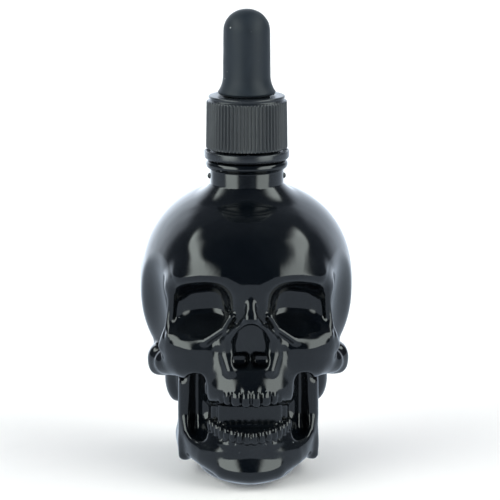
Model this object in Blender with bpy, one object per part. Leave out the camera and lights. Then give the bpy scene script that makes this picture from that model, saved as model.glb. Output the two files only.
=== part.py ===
# A dropper bottle shaped as a human skull. The black glass bottle is closed by a ribbed screw cap
# that carries a rubber bulb and a glass pipette, over a loose tamper band on the glass neck.
# Metres, +Z up. The origin lies on the neck's axis, where the bottle stands. The face looks along -Y.

import math

import bmesh
import bpy
import numpy as np

# Skull: its overall width, depth and height up to the crown, and its glass
SKULL_WIDTH = 0.059
SKULL_DEPTH = 0.072
SKULL_HEIGHT = 0.0796
GLASS_WALL = 0.0032
GLASS_FLOOR = 0.0045
FORM_STEP = 0.0010
HOLLOW_STEP = 0.0026
FORM_FACES = 6200
HOLLOW_FACES = 1000

# Glass neck
NECK_DIAMETER = 0.0204
NECK_FILLET = 0.0040
NECK_RING_DIAMETER = 0.0227
NECK_RING_THICKNESS = 0.0024
NECK_LENGTH = 0.0043
FINISH_DIAMETER = 0.0158
BORE_DIAMETER = 0.0104
RIM_ROUND = 0.0007
BEAD_DIAMETER = 0.0184
BEAD_THICKNESS = 0.0010
SEAM_NUB_RADIUS = 0.0009

# Screw thread
THREAD_DIAMETER = 0.0179
THREAD_PITCH = 0.0030
THREAD_TURNS = 1.5
THREAD_ROOT_WIDTH = 0.0013
THREAD_CREST_WIDTH = 0.0007
THREAD_DEPTH_IN_CAP = 0.0011
THREAD_RUN_OUT = 0.6

# Cap
CAP_DIAMETER = 0.0226
CAP_HEIGHT = 0.0146
CAP_TOP_DIAMETER = 0.0211
CAP_TOP_THICKNESS = 0.0013
CAP_HOLE_DIAMETER = 0.0132
CAP_CLEARANCE = 0.0004
SHOULDER_HEIGHT = 0.0015
EDGE_ROUND = 0.0004
RIB_COUNT = 66
RIB_DEPTH = 0.0004
RIB_TOP_SHARE = 0.58

# Tamper band
BAND_DIAMETER = 0.0235
BAND_HEIGHT = 0.0024
BAND_WALL = 0.0020
BAND_GAP = 0.0006
BAND_LIP_THICKNESS = 0.0008
BRIDGE_COUNT = 8
BRIDGE_HEIGHT = 0.00025
BRIDGE_WIDTH = 0.0009

# Rubber bulb
BULB_DIAMETER = 0.0130
BULB_HEIGHT = 0.0238
BULB_WALL = 0.0015
BULB_FOOT_DIAMETER = 0.0159
BULB_FOOT_HEIGHT = 0.0046
BULB_CROWN_HEIGHT = 0.0040
FLANGE_THICKNESS = 0.0012
FLANGE_DIAMETER = 0.0152

# Glass pipette
PIPETTE_DIAMETER = 0.0070
PIPETTE_WALL = 0.0011
PIPETTE_SEAT = 0.0053
PIPETTE_STOP_THICKNESS = 0.0012
PIPETTE_STOP_DIAMETER = 0.0094
PIPETTE_TAPER = 0.0100
TIP_DIAMETER = 0.0030
TIP_BORE_DIAMETER = 0.0014
TIP_CLEARANCE = 0.0090

# Fits and facets
GAP = 0.0003
OVERRUN = 0.0020
MERGE_DISTANCE = 0.00001
TURNED_STEPS = 36
SMALL_STEPS = 28
THREAD_STEPS = 30

# Heights that follow from the sizes above
NECK_RING_HEIGHT = SKULL_HEIGHT + NECK_LENGTH
RING_TOP = NECK_RING_HEIGHT + NECK_RING_THICKNESS
BAND_BOTTOM = RING_TOP + GAP
BAND_TOP = BAND_BOTTOM + BAND_HEIGHT
CAP_BOTTOM = BAND_TOP + BAND_GAP
CAP_TOP = CAP_BOTTOM + CAP_HEIGHT
CAP_CEILING = CAP_TOP - CAP_TOP_THICKNESS
FLANGE_TOP = CAP_CEILING - GAP
FLANGE_BOTTOM = FLANGE_TOP - FLANGE_THICKNESS
RIM_HEIGHT = FLANGE_BOTTOM - GAP
BEAD_HEIGHT = BAND_BOTTOM + BAND_LIP_THICKNESS + 2 * GAP
PIPETTE_TOP = FLANGE_BOTTOM + PIPETTE_SEAT
TIP_HEIGHT = GLASS_FLOOR + TIP_CLEARANCE
THREAD_START = CAP_BOTTOM + THREAD_PITCH / 2

# The skull is laid out on a grid of parts, 59 across its width, 72 along its depth and 80 up to the
# crown. Each row is one mass, rod, slab or hollow of the half at +X, blended into those before it. A
# barrel is round about its axis, 0 for X, 1 for Y and 2 for Z, and squarer along it.
# "spin" turns a form about Z, "tip" about X and "lean" about Y, in degrees.
GRID_SHARES = (59.0, 72.0, 79.6)
SKULL_SHARES = [
    {"part": "back of the head", "form": "ball", "at": (0.0, 6.6, 50.3), "half": (29.5, 28.2, 29.3),
     "power": 2.25},
    {"part": "forehead", "form": "ball", "blend": 7.0, "at": (0.0, -6.0, 49.2),
     "half": (24.2, 25.0, 27.6), "power": 2.5},
    {"part": "temple", "form": "ball", "cut": True, "blend": 5.0, "at": (30.4, -15.5, 45.0),
     "half": (7.8, 12.5, 15.5)},
    {"part": "nape", "form": "ball", "blend": 9.0, "at": (0.0, 6.5, 12.0), "half": (16.2, 17.5, 20.0),
     "power": 3.2},
    {"part": "middle of the face", "form": "ball", "blend": 4.0, "at": (0.0, -13.0, 39.0),
     "half": (17.5, 14.6, 10.5), "power": 2.4},
    {"part": "upper jaw", "form": "barrel", "blend": 2.4, "at": (0.0, -17.1, 34.0),
     "half": (14.4, 13.5, 10.0), "power": 6.0, "axis": 2, "tip": -22.0},
    {"part": "cheekbone", "form": "ball", "blend": 2.8, "at": (16.6, -21.8, 35.6),
     "half": (7.2, 4.6, 6.0), "power": 2.4, "spin": 30.0},
    {"part": "buttress of the cheekbone", "form": "rod", "blend": 3.2, "thick": (3.0, 2.2, 1.6),
     "along": ((15.0, -22.5, 33.6), (12.4, -22.2, 30.0), (10.8, -21.0, 26.5))},
    {"part": "cheek arch", "form": "rod", "blend": 2.4, "thick": (3.4, 3.6, 3.4, 3.0, 2.6),
     "along": ((17.6, -20.6, 33.2), (22.2, -14.8, 32.6), (24.0, -8.0, 32.2), (23.3, -1.0, 32.2),
               (20.4, 5.0, 33.0))},
    {"part": "brow", "form": "ball", "blend": 6.0, "at": (10.8, -21.9, 60.2), "half": (10.8, 6.7, 9.2),
     "power": 2.7, "spin": 17.0, "tip": -15.0, "lean": 8.0},
    {"part": "outer rim of the socket", "form": "rod", "blend": 1.8, "thick": (1.4, 1.3, 1.3, 2.0),
     "along": ((20.0, -22.6, 53.2), (20.8, -20.8, 49.0), (21.6, -20.4, 43.5), (22.6, -18.6, 38.0))},
    {"part": "side of the nose", "form": "rod", "blend": 2.4, "thick": (1.6, 1.6, 1.6, 1.2),
     "along": ((4.2, -27.2, 55.5), (5.3, -27.8, 50.5), (6.8, -27.8, 45.5), (8.0, -26.4, 41.0))},
    {"part": "rising branch of the jaw", "form": "slab", "blend": 1.6, "at": (17.5, -7.0, 17.0),
     "half": (1.7, 6.4, 13.5), "round": 1.6, "tip": -7.0},
    {"part": "front edge of the branch", "form": "rod", "blend": 1.6, "thick": (1.3, 1.3, 1.5, 1.8),
     "along": ((17.6, -12.6, 26.0), (17.3, -13.2, 17.0), (16.6, -14.6, 12.4), (13.6, -18.8, 10.4))},
    {"part": "wall behind the teeth", "form": "slab", "blend": 1.2, "at": (12.2, -5.0, 19.0),
     "half": (5.4, 9.5, 13.0), "round": 2.0},
    {"part": "foot", "form": "ball", "blend": 1.0, "at": (0.0, -3.2, 1.0), "half": (14.6, 26.6, 9.0),
     "power": 2.6},
    {"part": "lower edge of the jaw", "form": "rod", "blend": 2.0, "thick": (4.4, 4.4, 4.2, 3.8, 3.6),
     "along": ((0.0, -25.8, 5.6), (6.2, -24.6, 5.6), (11.2, -20.2, 6.0), (14.8, -12.0, 6.6),
               (16.0, -2.0, 7.0))},
    {"part": "body of the jaw", "form": "barrel", "blend": 2.0, "at": (0.0, -9.0, 9.6),
     "half": (18.0, 20.8, 3.9), "power": 5.0, "axis": 2, "tip": 4.0},
    {"part": "lower gum", "form": "barrel", "blend": 2.0, "at": (0.0, -15.4, 11.0),
     "half": (13.4, 15.2, 4.2), "power": 5.0, "axis": 2, "tip": 9.0},
    {"part": "chin", "form": "ball", "blend": 1.4, "at": (-1.8, -25.0, 5.0), "half": (11.0, 7.0, 4.8),
     "power": 2.0},
    {"part": "floor of the mouth", "form": "slab", "blend": 1.0, "at": (0.0, -16.0, 8.0),
     "half": (9.0, 10.0, 6.0), "round": 1.0},
    {"part": "front of the palate", "form": "slab", "blend": 0.8, "at": (0.0, -14.5, 20.0),
     "half": (8.6, 10.0, 9.0), "round": 1.0},
    {"part": "back of the palate", "form": "slab", "blend": 1.0, "at": (0.0, -8.0, 18.0),
     "half": (10.6, 12.0, 14.0), "round": 2.0},
    {"part": "bone behind the ear", "form": "ball", "blend": 2.5, "at": (19.3, 5.0, 23.5),
     "half": (3.4, 4.6, 7.0)},
    {"part": "eye socket", "form": "barrel", "cut": True, "blend": 2.6, "at": (13.5, -32.4, 49.2),
     "half": (8.1, 12.8, 7.4), "power": 3.4, "axis": 0, "spin": 5.0, "tip": -16.0, "lean": 5.0},
    {"part": "hollow of the cheek", "form": "ball", "cut": True, "blend": 2.6, "at": (12.2, -31.2, 33.4),
     "half": (2.2, 2.4, 3.2)},
    {"part": "opening of the nose", "form": "barrel", "cut": True, "blend": 0.8,
     "at": (0.0, -33.4, 40.6), "half": (5.5, 5.4, 7.2), "power": 5.0, "axis": 1, "tip": 17.0},
    {"part": "foot of the nose opening", "form": "slab", "cut": True, "blend": 0.5,
     "at": (2.75, -31.0, 35.8), "half": (2.5, 6.0, 1.9), "round": 1.4},
    {"part": "gap between teeth and branch", "form": "barrel", "cut": True, "blend": 1.2,
     "at": (14.2, -22.0, 21.8), "half": (2.8, 9.4, 9.8), "power": 4.0, "axis": 2},
    {"part": "lower rim of the socket", "form": "rod", "blend": 2.0, "thick": (0.8, 0.8, 0.8, 0.9, 1.2),
     "along": ((5.2, -30.0, 48.2), (7.2, -29.4, 44.8), (12.0, -27.8, 41.1), (17.8, -24.7, 40.2),
               (21.6, -20.4, 40.2))},
    {"part": "nose bone", "form": "rod", "blend": 1.2, "thick": (1.3, 1.3, 1.5),
     "along": ((0.0, -29.2, 58.0), (0.0, -30.8, 52.5), (0.0, -33.0, 48.8))},
    {"part": "edge of the nose", "form": "rod", "blend": 2.2, "thick": (0.8, 0.8, 0.8, 0.8, 0.8),
     "along": ((0.6, -33.2, 48.2), (3.6, -31.7, 45.4), (5.9, -29.4, 41.4), (6.4, -29.2, 37.6),
               (5.3, -30.4, 33.6))},
    {"part": "groove under the nose", "form": "rod", "cut": True, "blend": 0.6, "thick": (0.5, 0.35),
     "along": ((0.0, -33.0, 33.6), (0.0, -33.0, 28.8))},
]

# Each row of teeth stands on an elliptic arch. Widths run from the middle of the row to its end.
TEETH_SHARES = [
    {"row": "upper", "arch_at": -15.5, "arch_half": (11.2, 17.2), "first": 0.05, "height": 26.0,
     "drop": 0.05, "tall": 4.2, "thick": 1.5, "widths": (2.3, 2.9, 2.3, 2.0, 1.9, 2.0, 2.2, 2.4),
     "root_at": 28.4, "root_tall": 2.2},
    {"row": "lower", "arch_at": -13.5, "arch_half": (11.2, 17.4), "first": 0.05, "height": 14.9,
     "drop": 0.18, "tall": 3.6, "thick": 1.4, "widths": (1.7, 1.9, 2.2, 2.0, 1.9, 2.0, 2.2, 2.4),
     "root_at": 13.2, "root_tall": 1.3},
]
TOOTH_POWER_SHARE = 2.8
TOOTH_BLEND_SHARE = 0.3
ROOT_BLEND_SHARE = 1.5
ROOT_WIDTH_SHARE = 0.35
ROOT_INSET_SHARE = 0.955
FOLD_SHARE = 0.35
FOOT_ROUND_SHARE = 3.2

# The hollow follows the large masses only, set in by the wall, and keeps clear of the face's hollows.
HOLLOW_PARTS = ("back of the head", "forehead", "nape", "back of the palate")
HOLLOW_BLEND_SHARE = 6.0
PUSH_UP_SHARES = {"at": (0.0, -3.0, -0.4), "half": (9.6, 19.0, 1.6)}


def clear_scene():
    for item in list(bpy.data.objects):
        bpy.data.objects.remove(item, do_unlink=True)


def ball_distance(points, at, half, power=2.0):
    """Roughly the distance to an ellipsoid whose roundness is set by power."""
    half = np.array(half)
    ratio = np.maximum(np.abs(points - np.array(at)) / half, 0.0001)
    size = (ratio ** power).sum(axis=1) ** (1.0 / power)
    slope = np.linalg.norm(ratio ** (power - 1.0) / half, axis=1) * size ** (1.0 - power)
    return (size - 1.0) / slope


def barrel_distance(points, half, power, axis):
    """Roughly the distance to a body that is round about one axis and squarer along it."""
    ratio = np.maximum(np.abs(points) / np.array(half), 0.0001)
    others = [side for side in range(3) if side != axis]
    disc = np.linalg.norm(ratio[:, others], axis=1)
    size = (ratio[:, axis] ** power + disc ** power) ** (1.0 / power)
    slope = np.empty_like(ratio)
    slope[:, axis] = ratio[:, axis] ** (power - 1.0) / half[axis]
    for side in others:
        slope[:, side] = disc ** (power - 2.0) * ratio[:, side] / half[side]
    return (size - 1.0) / (np.linalg.norm(slope, axis=1) * size ** (1.0 - power))


def rod_distance(points, along, thick):
    """Distance to a round rod that swells and tapers along its corner points."""
    nearest = np.full(len(points), np.inf)
    corners = [np.array(corner) for corner in along]
    for start, end, start_thick, end_thick in zip(corners, corners[1:], thick, thick[1:]):
        run = end - start
        place = np.clip((points - start) @ run / (run @ run), 0.0, 1.0)
        radius = start_thick + (end_thick - start_thick) * place
        gap = np.linalg.norm(points - start - place[:, None] * run, axis=1) - radius
        nearest = np.minimum(nearest, gap)
    return nearest


def slab_distance(points, at, half, rounding):
    """Distance to a block with rounded edges."""
    reach = np.abs(points - np.array(at)) - np.array(half) + rounding
    outside = np.linalg.norm(np.maximum(reach, 0.0), axis=1)
    return outside + np.minimum(reach.max(axis=1), 0.0) - rounding


def blended(first, second, width):
    """Union of two distance fields with a fillet."""
    if width == 0:
        return np.minimum(first, second)
    overlap = np.maximum(width - np.abs(first - second), 0.0) / width
    return np.minimum(first, second) - overlap * overlap * width / 4


def blended_cut(first, second, width):
    """The first field with the second one taken out of it."""
    return -blended(-first, second, width)


def turned_about(points, at, spin=0.0, tip=0.0, lean=0.0):
    """Points as seen from a frame that stands at a place and is turned there."""
    local = points - np.array(at)
    for angle, first, second in ((spin, 0, 1), (tip, 1, 2), (lean, 2, 0)):
        if angle == 0:
            continue
        cosine = math.cos(math.radians(angle))
        sine = math.sin(math.radians(angle))
        one = local[:, first].copy()
        two = local[:, second].copy()
        local[:, first] = cosine * one + sine * two
        local[:, second] = cosine * two - sine * one
    return local


def form_distance(points, row):
    if row["form"] == "rod":
        return rod_distance(points, row["along"], row["thick"])
    local = turned_about(points, row["at"], row.get("spin", 0.0), row.get("tip", 0.0), row.get("lean", 0.0))
    centre = (0.0, 0.0, 0.0)
    if row["form"] == "slab":
        return slab_distance(local, centre, row["half"], row["round"])
    if row["form"] == "barrel":
        return barrel_distance(local, row["half"], row["power"], row["axis"])
    return ball_distance(local, centre, row["half"], row.get("power", 2.0))


def arch_point(teeth, travel):
    """Point on the arch and its outward angle, at a travel along it from the middle."""
    across, deep = teeth["arch_half"]
    angles = np.linspace(0.0, math.pi / 2, 200)
    xs = across * np.sin(angles)
    ys = teeth["arch_at"] - deep * np.cos(angles)
    travelled = np.concatenate([[0.0], np.cumsum(np.hypot(np.diff(xs), np.diff(ys)))])
    angle = float(np.interp(travel, travelled, angles))
    outward = math.degrees(math.atan2(math.sin(angle) / across, math.cos(angle) / deep))
    return across * math.sin(angle), teeth["arch_at"] - deep * math.cos(angle), outward


def with_teeth(field, points):
    """Adds each tooth and the swelling over its root."""
    centre = (0.0, 0.0, 0.0)
    for teeth in TEETH_SHARES:
        travel = teeth["first"]
        for place, width in enumerate(teeth["widths"]):
            x, y, outward = arch_point(teeth, travel + width / 2)
            travel += width
            half = (width / 2, teeth["thick"], teeth["tall"] / 2)
            local = turned_about(points, (x, y, teeth["height"] + teeth["drop"] * place), outward)
            field = blended(field, ball_distance(local, centre, half, TOOTH_POWER_SHARE), TOOTH_BLEND_SHARE)
            root = (x * ROOT_INSET_SHARE, y * ROOT_INSET_SHARE, teeth["root_at"])
            local = turned_about(points, root, outward)
            half = (width * ROOT_WIDTH_SHARE, teeth["thick"], teeth["root_tall"])
            field = blended(field, ball_distance(local, centre, half), ROOT_BLEND_SHARE)
    return field


def grid_scale():
    return np.array([SKULL_WIDTH, SKULL_DEPTH, SKULL_HEIGHT]) / np.array(GRID_SHARES)


def folded_points(points):
    """Points in grid parts, with the half at -X folded softly onto the half at +X."""
    local = points / grid_scale()
    local[:, 0] = np.sqrt(local[:, 0] ** 2 + FOLD_SHARE ** 2) - FOLD_SHARE / 2
    return local


def skin_distance(points):
    """Signed distance in metres to the outside of the glass, negative inside it."""
    local = folded_points(points)
    field = np.full(len(points), np.inf)
    for row in SKULL_SHARES:
        form = form_distance(local, row)
        if row.get("cut"):
            field = blended_cut(field, form, row["blend"])
        else:
            field = blended(field, form, row.get("blend", 0.0)) if np.isfinite(field[0]) else form
    field = with_teeth(field, local)
    field = blended_cut(field, local[:, 2], FOOT_ROUND_SHARE)
    push_up = ball_distance(local, PUSH_UP_SHARES["at"], PUSH_UP_SHARES["half"])
    field = blended_cut(field, push_up, FOLD_SHARE)
    field = field * grid_scale().mean()
    radius = np.hypot(points[:, 0], points[:, 1])
    stem_top = (SKULL_HEIGHT + NECK_RING_HEIGHT) / 2
    stem_ends = np.maximum(points[:, 2] - stem_top, SKULL_HEIGHT / 2 - points[:, 2])
    stem = np.maximum(radius - NECK_DIAMETER / 2 + GAP, stem_ends)
    return blended(field, stem, NECK_FILLET)


def hollow_distance(points):
    """Signed distance in metres to the inside of the glass, negative in the hollow."""
    local = folded_points(points)
    wall = GLASS_WALL / grid_scale().mean()
    field = None
    for row in SKULL_SHARES:
        if row["part"] in HOLLOW_PARTS:
            form = form_distance(local, row) + wall
            field = form if field is None else blended(field, form, HOLLOW_BLEND_SHARE)
    for row in SKULL_SHARES:
        if row.get("cut") and row["form"] != "rod":
            field = blended_cut(field, form_distance(local, row) - wall, HOLLOW_BLEND_SHARE / 2)
    field = field * grid_scale().mean()
    return blended_cut(field, points[:, 2] - GLASS_FLOOR, GLASS_WALL)


def field_mesh(name, distance, reach, step):
    """Mesh of a field's zero surface, from tetrahedra that fill a grid of cubes."""
    low, high = reach
    counts = np.ceil((np.array(high) - np.array(low)) / step).astype(int) + 1
    axes = [low[axis] + step * np.arange(counts[axis]) for axis in range(3)]
    grid = np.stack(np.meshgrid(*axes, indexing="ij"), axis=-1).reshape(-1, 3)
    value = np.concatenate([distance(part) for part in np.array_split(grid, 8)])
    value = np.where(value == 0, step / 1000, value)
    stride = np.array([counts[1] * counts[2], counts[2], 1])
    cubes = np.stack(np.meshgrid(*[np.arange(count - 1) for count in counts], indexing="ij"), axis=-1)
    cubes = cubes.reshape(-1, 3) @ stride
    inside = value < 0
    corner_sum = sum(inside[cubes + stride @ corner].astype(int) for corner in np.ndindex(2, 2, 2))
    cubes = cubes[(corner_sum > 0) & (corner_sum < 8)]
    walks = [(0, 1, 2), (1, 2, 0), (2, 0, 1), (0, 2, 1), (2, 1, 0), (1, 0, 2)]
    faces = []
    for number, walk in enumerate(walks):
        first = cubes
        second = first + stride[walk[0]]
        third = second + stride[walk[1]]
        fourth = third + stride[walk[2]]
        corners = np.stack([first, second, third, fourth], axis=1)
        if number >= 3:
            corners = corners[:, [0, 2, 1, 3]]
        faces.extend(tetra_faces(corners, inside))
    edges = np.concatenate(faces).reshape(-1, 2)
    ordered = np.sort(edges, axis=1)
    keys, place = np.unique(ordered[:, 0].astype(np.int64) * len(grid) + ordered[:, 1], return_inverse=True)
    start = keys // len(grid)
    end = keys % len(grid)
    share = (value[start] / (value[start] - value[end]))[:, None]
    points = grid[start] + share * (grid[end] - grid[start])
    mesh = bpy.data.meshes.new(name)
    mesh.from_pydata(points.tolist(), [], place.reshape(-1, 3).tolist())
    keep_outer_shell(mesh)
    return mesh


def keep_outer_shell(mesh):
    """Closes the small pockets that blended forms can leave under the skin."""
    shape = bmesh.new()
    shape.from_mesh(mesh)
    waiting = set(shape.verts)
    shells = []
    while waiting:
        shell = [waiting.pop()]
        for vertex in shell:
            for edge in vertex.link_edges:
                other = edge.other_vert(vertex)
                if other in waiting:
                    waiting.discard(other)
                    shell.append(other)
        shells.append(shell)
    shells.sort(key=len)
    pockets = [vertex for shell in shells[:-1] for vertex in shell]
    bmesh.ops.delete(shape, geom=pockets, context="VERTS")
    shape.to_mesh(mesh)
    shape.free()


def tetra_faces(corners, inside):
    """Triangles across each tetrahedron, as grid edges, for every pattern of inner corners."""
    pattern = sum(inside[corners[:, place]].astype(int) << place for place in range(4))
    cut_edges = {
        1: (0, 1, 0, 2, 0, 3), 2: (1, 0, 1, 3, 1, 2), 4: (2, 0, 2, 1, 2, 3), 8: (3, 0, 3, 2, 3, 1),
        14: (0, 1, 0, 3, 0, 2), 13: (1, 0, 1, 2, 1, 3), 11: (2, 0, 2, 3, 2, 1), 7: (3, 0, 3, 1, 3, 2),
        3: (0, 2, 0, 3, 1, 3, 1, 3, 1, 2, 0, 2), 12: (0, 2, 1, 2, 1, 3, 1, 3, 0, 3, 0, 2),
        5: (0, 1, 1, 2, 2, 3, 2, 3, 0, 3, 0, 1), 10: (0, 1, 0, 3, 2, 3, 2, 3, 1, 2, 0, 1),
        9: (0, 1, 0, 2, 2, 3, 2, 3, 1, 3, 0, 1), 6: (0, 1, 1, 3, 2, 3, 2, 3, 0, 2, 0, 1),
    }
    found = []
    for code, ends in cut_edges.items():
        chosen = corners[pattern == code]
        found.append(chosen[:, list(ends)].reshape(-1, 2))
    return found


def material(name, color, roughness, metallic=0.0, transmission=0.0):
    made = bpy.data.materials.new(name)
    made.use_nodes = True
    shader = made.node_tree.nodes["Principled BSDF"]
    shader.inputs["Base Color"].default_value = (*color, 1.0)
    shader.inputs["Roughness"].default_value = roughness
    shader.inputs["Metallic"].default_value = metallic
    shader.inputs["Transmission Weight"].default_value = transmission
    return made


def placed(name, mesh, parent=None, finish=None, height=0.0):
    """An object at a height on the neck's axis, its mesh drawn in world places."""
    item = bpy.data.objects.new(name, mesh)
    bpy.context.scene.collection.objects.link(item)
    if height:
        for vertex in mesh.vertices:
            vertex.co.z -= height
    item.location.z = height
    if parent is not None:
        item.location.z = height - parent.location.z
        item.parent = parent
    if finish is not None:
        mesh.materials.append(finish)
    return item


def body_empty(name, height, parent):
    """Carrier of a moving body, with its origin on the neck's axis."""
    item = bpy.data.objects.new(name, None)
    bpy.context.scene.collection.objects.link(item)
    item.location.z = height - parent.location.z
    item.parent = parent
    return item


def hide_cutter(item):
    item.hide_render = True
    item.display_type = "WIRE"
    return item


def profile_mesh(name, profile, closed):
    """Wire profile in the XZ plane, drawn down its outer side."""
    mesh = bpy.data.meshes.new(name)
    points = [(radius, 0.0, height) for radius, height in profile]
    edges = [(place, place + 1) for place in range(len(points) - 1)]
    if closed:
        edges.append((len(points) - 1, 0))
    mesh.from_pydata(points, edges, [])
    return mesh


def turn(item, steps):
    screw = item.modifiers.new("Turned", "SCREW")
    screw.axis = "Z"
    screw.steps = steps
    screw.render_steps = steps
    screw.use_merge_vertices = True
    screw.merge_threshold = MERGE_DISTANCE
    screw.use_smooth_shade = True
    return item


def boolean(item, other, operation):
    step = item.modifiers.new(other.name, "BOOLEAN")
    step.operation = operation
    step.solver = "EXACT"
    step.object = other
    return item


def arc(centre, radius, first, last, count):
    """Points of a profile's rounding, with angles in degrees from +X towards +Z."""
    angles = np.radians(np.linspace(first, last, count))
    return [(centre[0] + radius * math.cos(angle), centre[1] + radius * math.sin(angle)) for angle in angles]


def mesh_from(name, points, faces):
    """Mesh with its faces turned outwards."""
    mesh = bpy.data.meshes.new(name)
    mesh.from_pydata(points, [], faces)
    shape = bmesh.new()
    shape.from_mesh(mesh)
    bmesh.ops.recalc_face_normals(shape, faces=shape.faces)
    shape.to_mesh(mesh)
    shape.free()
    return mesh


def thread_ridge(name, root_radius, crest_radius, start):
    """One helical ridge, whose crest fades into its root at both ends."""
    count = round(THREAD_TURNS * THREAD_STEPS)
    points = []
    for place in range(count + 1):
        turned = place / THREAD_STEPS
        angle = 2 * math.pi * turned
        fade = min(1.0, turned / (THREAD_RUN_OUT / 4), (THREAD_TURNS - turned) / (THREAD_RUN_OUT / 4))
        crest = root_radius + (crest_radius - root_radius) * max(fade, RIB_TOP_SHARE / 2)
        middle = start + THREAD_PITCH * turned
        for radius, rise in ((root_radius, -THREAD_ROOT_WIDTH / 2), (crest, -THREAD_CREST_WIDTH / 2),
                             (crest, THREAD_CREST_WIDTH / 2), (root_radius, THREAD_ROOT_WIDTH / 2)):
            points.append((radius * math.cos(angle), radius * math.sin(angle), middle + rise))
    faces = [(0, 1, 2, 3), tuple(4 * count + corner for corner in (3, 2, 1, 0))]
    for place in range(count):
        for corner in range(4):
            after = (corner + 1) % 4
            base = 4 * place
            faces.append((base + corner, base + after, base + 4 + after, base + 4 + corner))
    return mesh_from(name, points, faces)


def neck_profile():
    """Ring-shaped section of the neck, from the rim down the outside and back up within the bore."""
    finish = FINISH_DIAMETER / 2
    ring = NECK_RING_DIAMETER / 2
    neck = NECK_DIAMETER / 2
    bead = BEAD_DIAMETER / 2
    core = BORE_DIAMETER / 4
    half_ring = NECK_RING_THICKNESS / 2
    root = SKULL_HEIGHT - NECK_FILLET / 4
    profile = [(core, RIM_HEIGHT)]
    profile += arc((finish - RIM_ROUND, RIM_HEIGHT - RIM_ROUND), RIM_ROUND, 90, 0, 3)
    bead_top = BEAD_HEIGHT + BEAD_THICKNESS
    profile += [(finish, bead_top + bead - finish), (bead, bead_top)]
    profile += [(bead, BEAD_HEIGHT), (finish, BEAD_HEIGHT), (finish, RING_TOP)]
    profile += arc((ring - half_ring, RING_TOP - half_ring), half_ring, 90, -90, 6)
    profile += [(neck, NECK_RING_HEIGHT), (neck, root), (core, root)]
    return profile


def make_bottle(finish):
    reach = ((-SKULL_WIDTH / 2 - FORM_STEP, -SKULL_DEPTH / 2 - 2 * FORM_STEP, -FORM_STEP),
             (SKULL_WIDTH / 2 + FORM_STEP, SKULL_DEPTH / 2 + FORM_STEP, NECK_RING_HEIGHT))
    form = field_mesh("skull_bottle", skin_distance, reach, FORM_STEP)
    bottle = placed("skull_bottle", form, finish=finish)
    thin_out(bottle, FORM_FACES)
    neck = placed("neck_shape", profile_mesh("neck_shape", neck_profile(), True))
    hide_cutter(turn(neck, TURNED_STEPS))
    thread_root = FINISH_DIAMETER / 2 - GAP
    thread = thread_ridge("thread_shape", thread_root, THREAD_DIAMETER / 2, THREAD_START)
    boolean(bottle, neck, "UNION")
    boolean(bottle, hide_cutter(placed("thread_shape", thread)), "UNION")
    for side in (-1, 1):
        boolean(bottle, seam_nub(side), "UNION")
    hollow_form = field_mesh("hollow_shape", hollow_distance, reach, HOLLOW_STEP)
    hollow = hide_cutter(placed("hollow_shape", hollow_form))
    thin_out(hollow, HOLLOW_FACES)
    bore = BORE_DIAMETER / 2
    bore_bottom = SKULL_HEIGHT - 2 * GLASS_WALL
    bore_top = RIM_HEIGHT + OVERRUN
    bore_points = [(0.0, bore_top), (bore, bore_top), (bore, bore_bottom), (0.0, bore_bottom)]
    bore_mesh = profile_mesh("bore_shape", bore_points, False)
    boolean(bottle, hollow, "DIFFERENCE")
    boolean(bottle, hide_cutter(turn(placed("bore_shape", bore_mesh), TURNED_STEPS)), "DIFFERENCE")
    return bottle


def thin_out(item, face_count):
    """Leaves about the given number of triangles where the form needs them most."""
    thin = item.modifiers.new("Fewer faces", "DECIMATE")
    thin.ratio = min(1.0, face_count / len(item.data.polygons))
    return item


def seam_nub(side):
    """Small swelling on the neck at each end of the mould's parting line."""
    mesh = bpy.data.meshes.new("seam_nub")
    shape = bmesh.new()
    bmesh.ops.create_icosphere(shape, subdivisions=2, radius=SEAM_NUB_RADIUS)
    for vertex in shape.verts:
        vertex.co.x += side * (NECK_DIAMETER / 2 - SEAM_NUB_RADIUS / 4)
        vertex.co.z += (SKULL_HEIGHT + NECK_RING_HEIGHT) / 2
    shape.to_mesh(mesh)
    shape.free()
    return hide_cutter(placed("seam_nub_shape", mesh))


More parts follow.
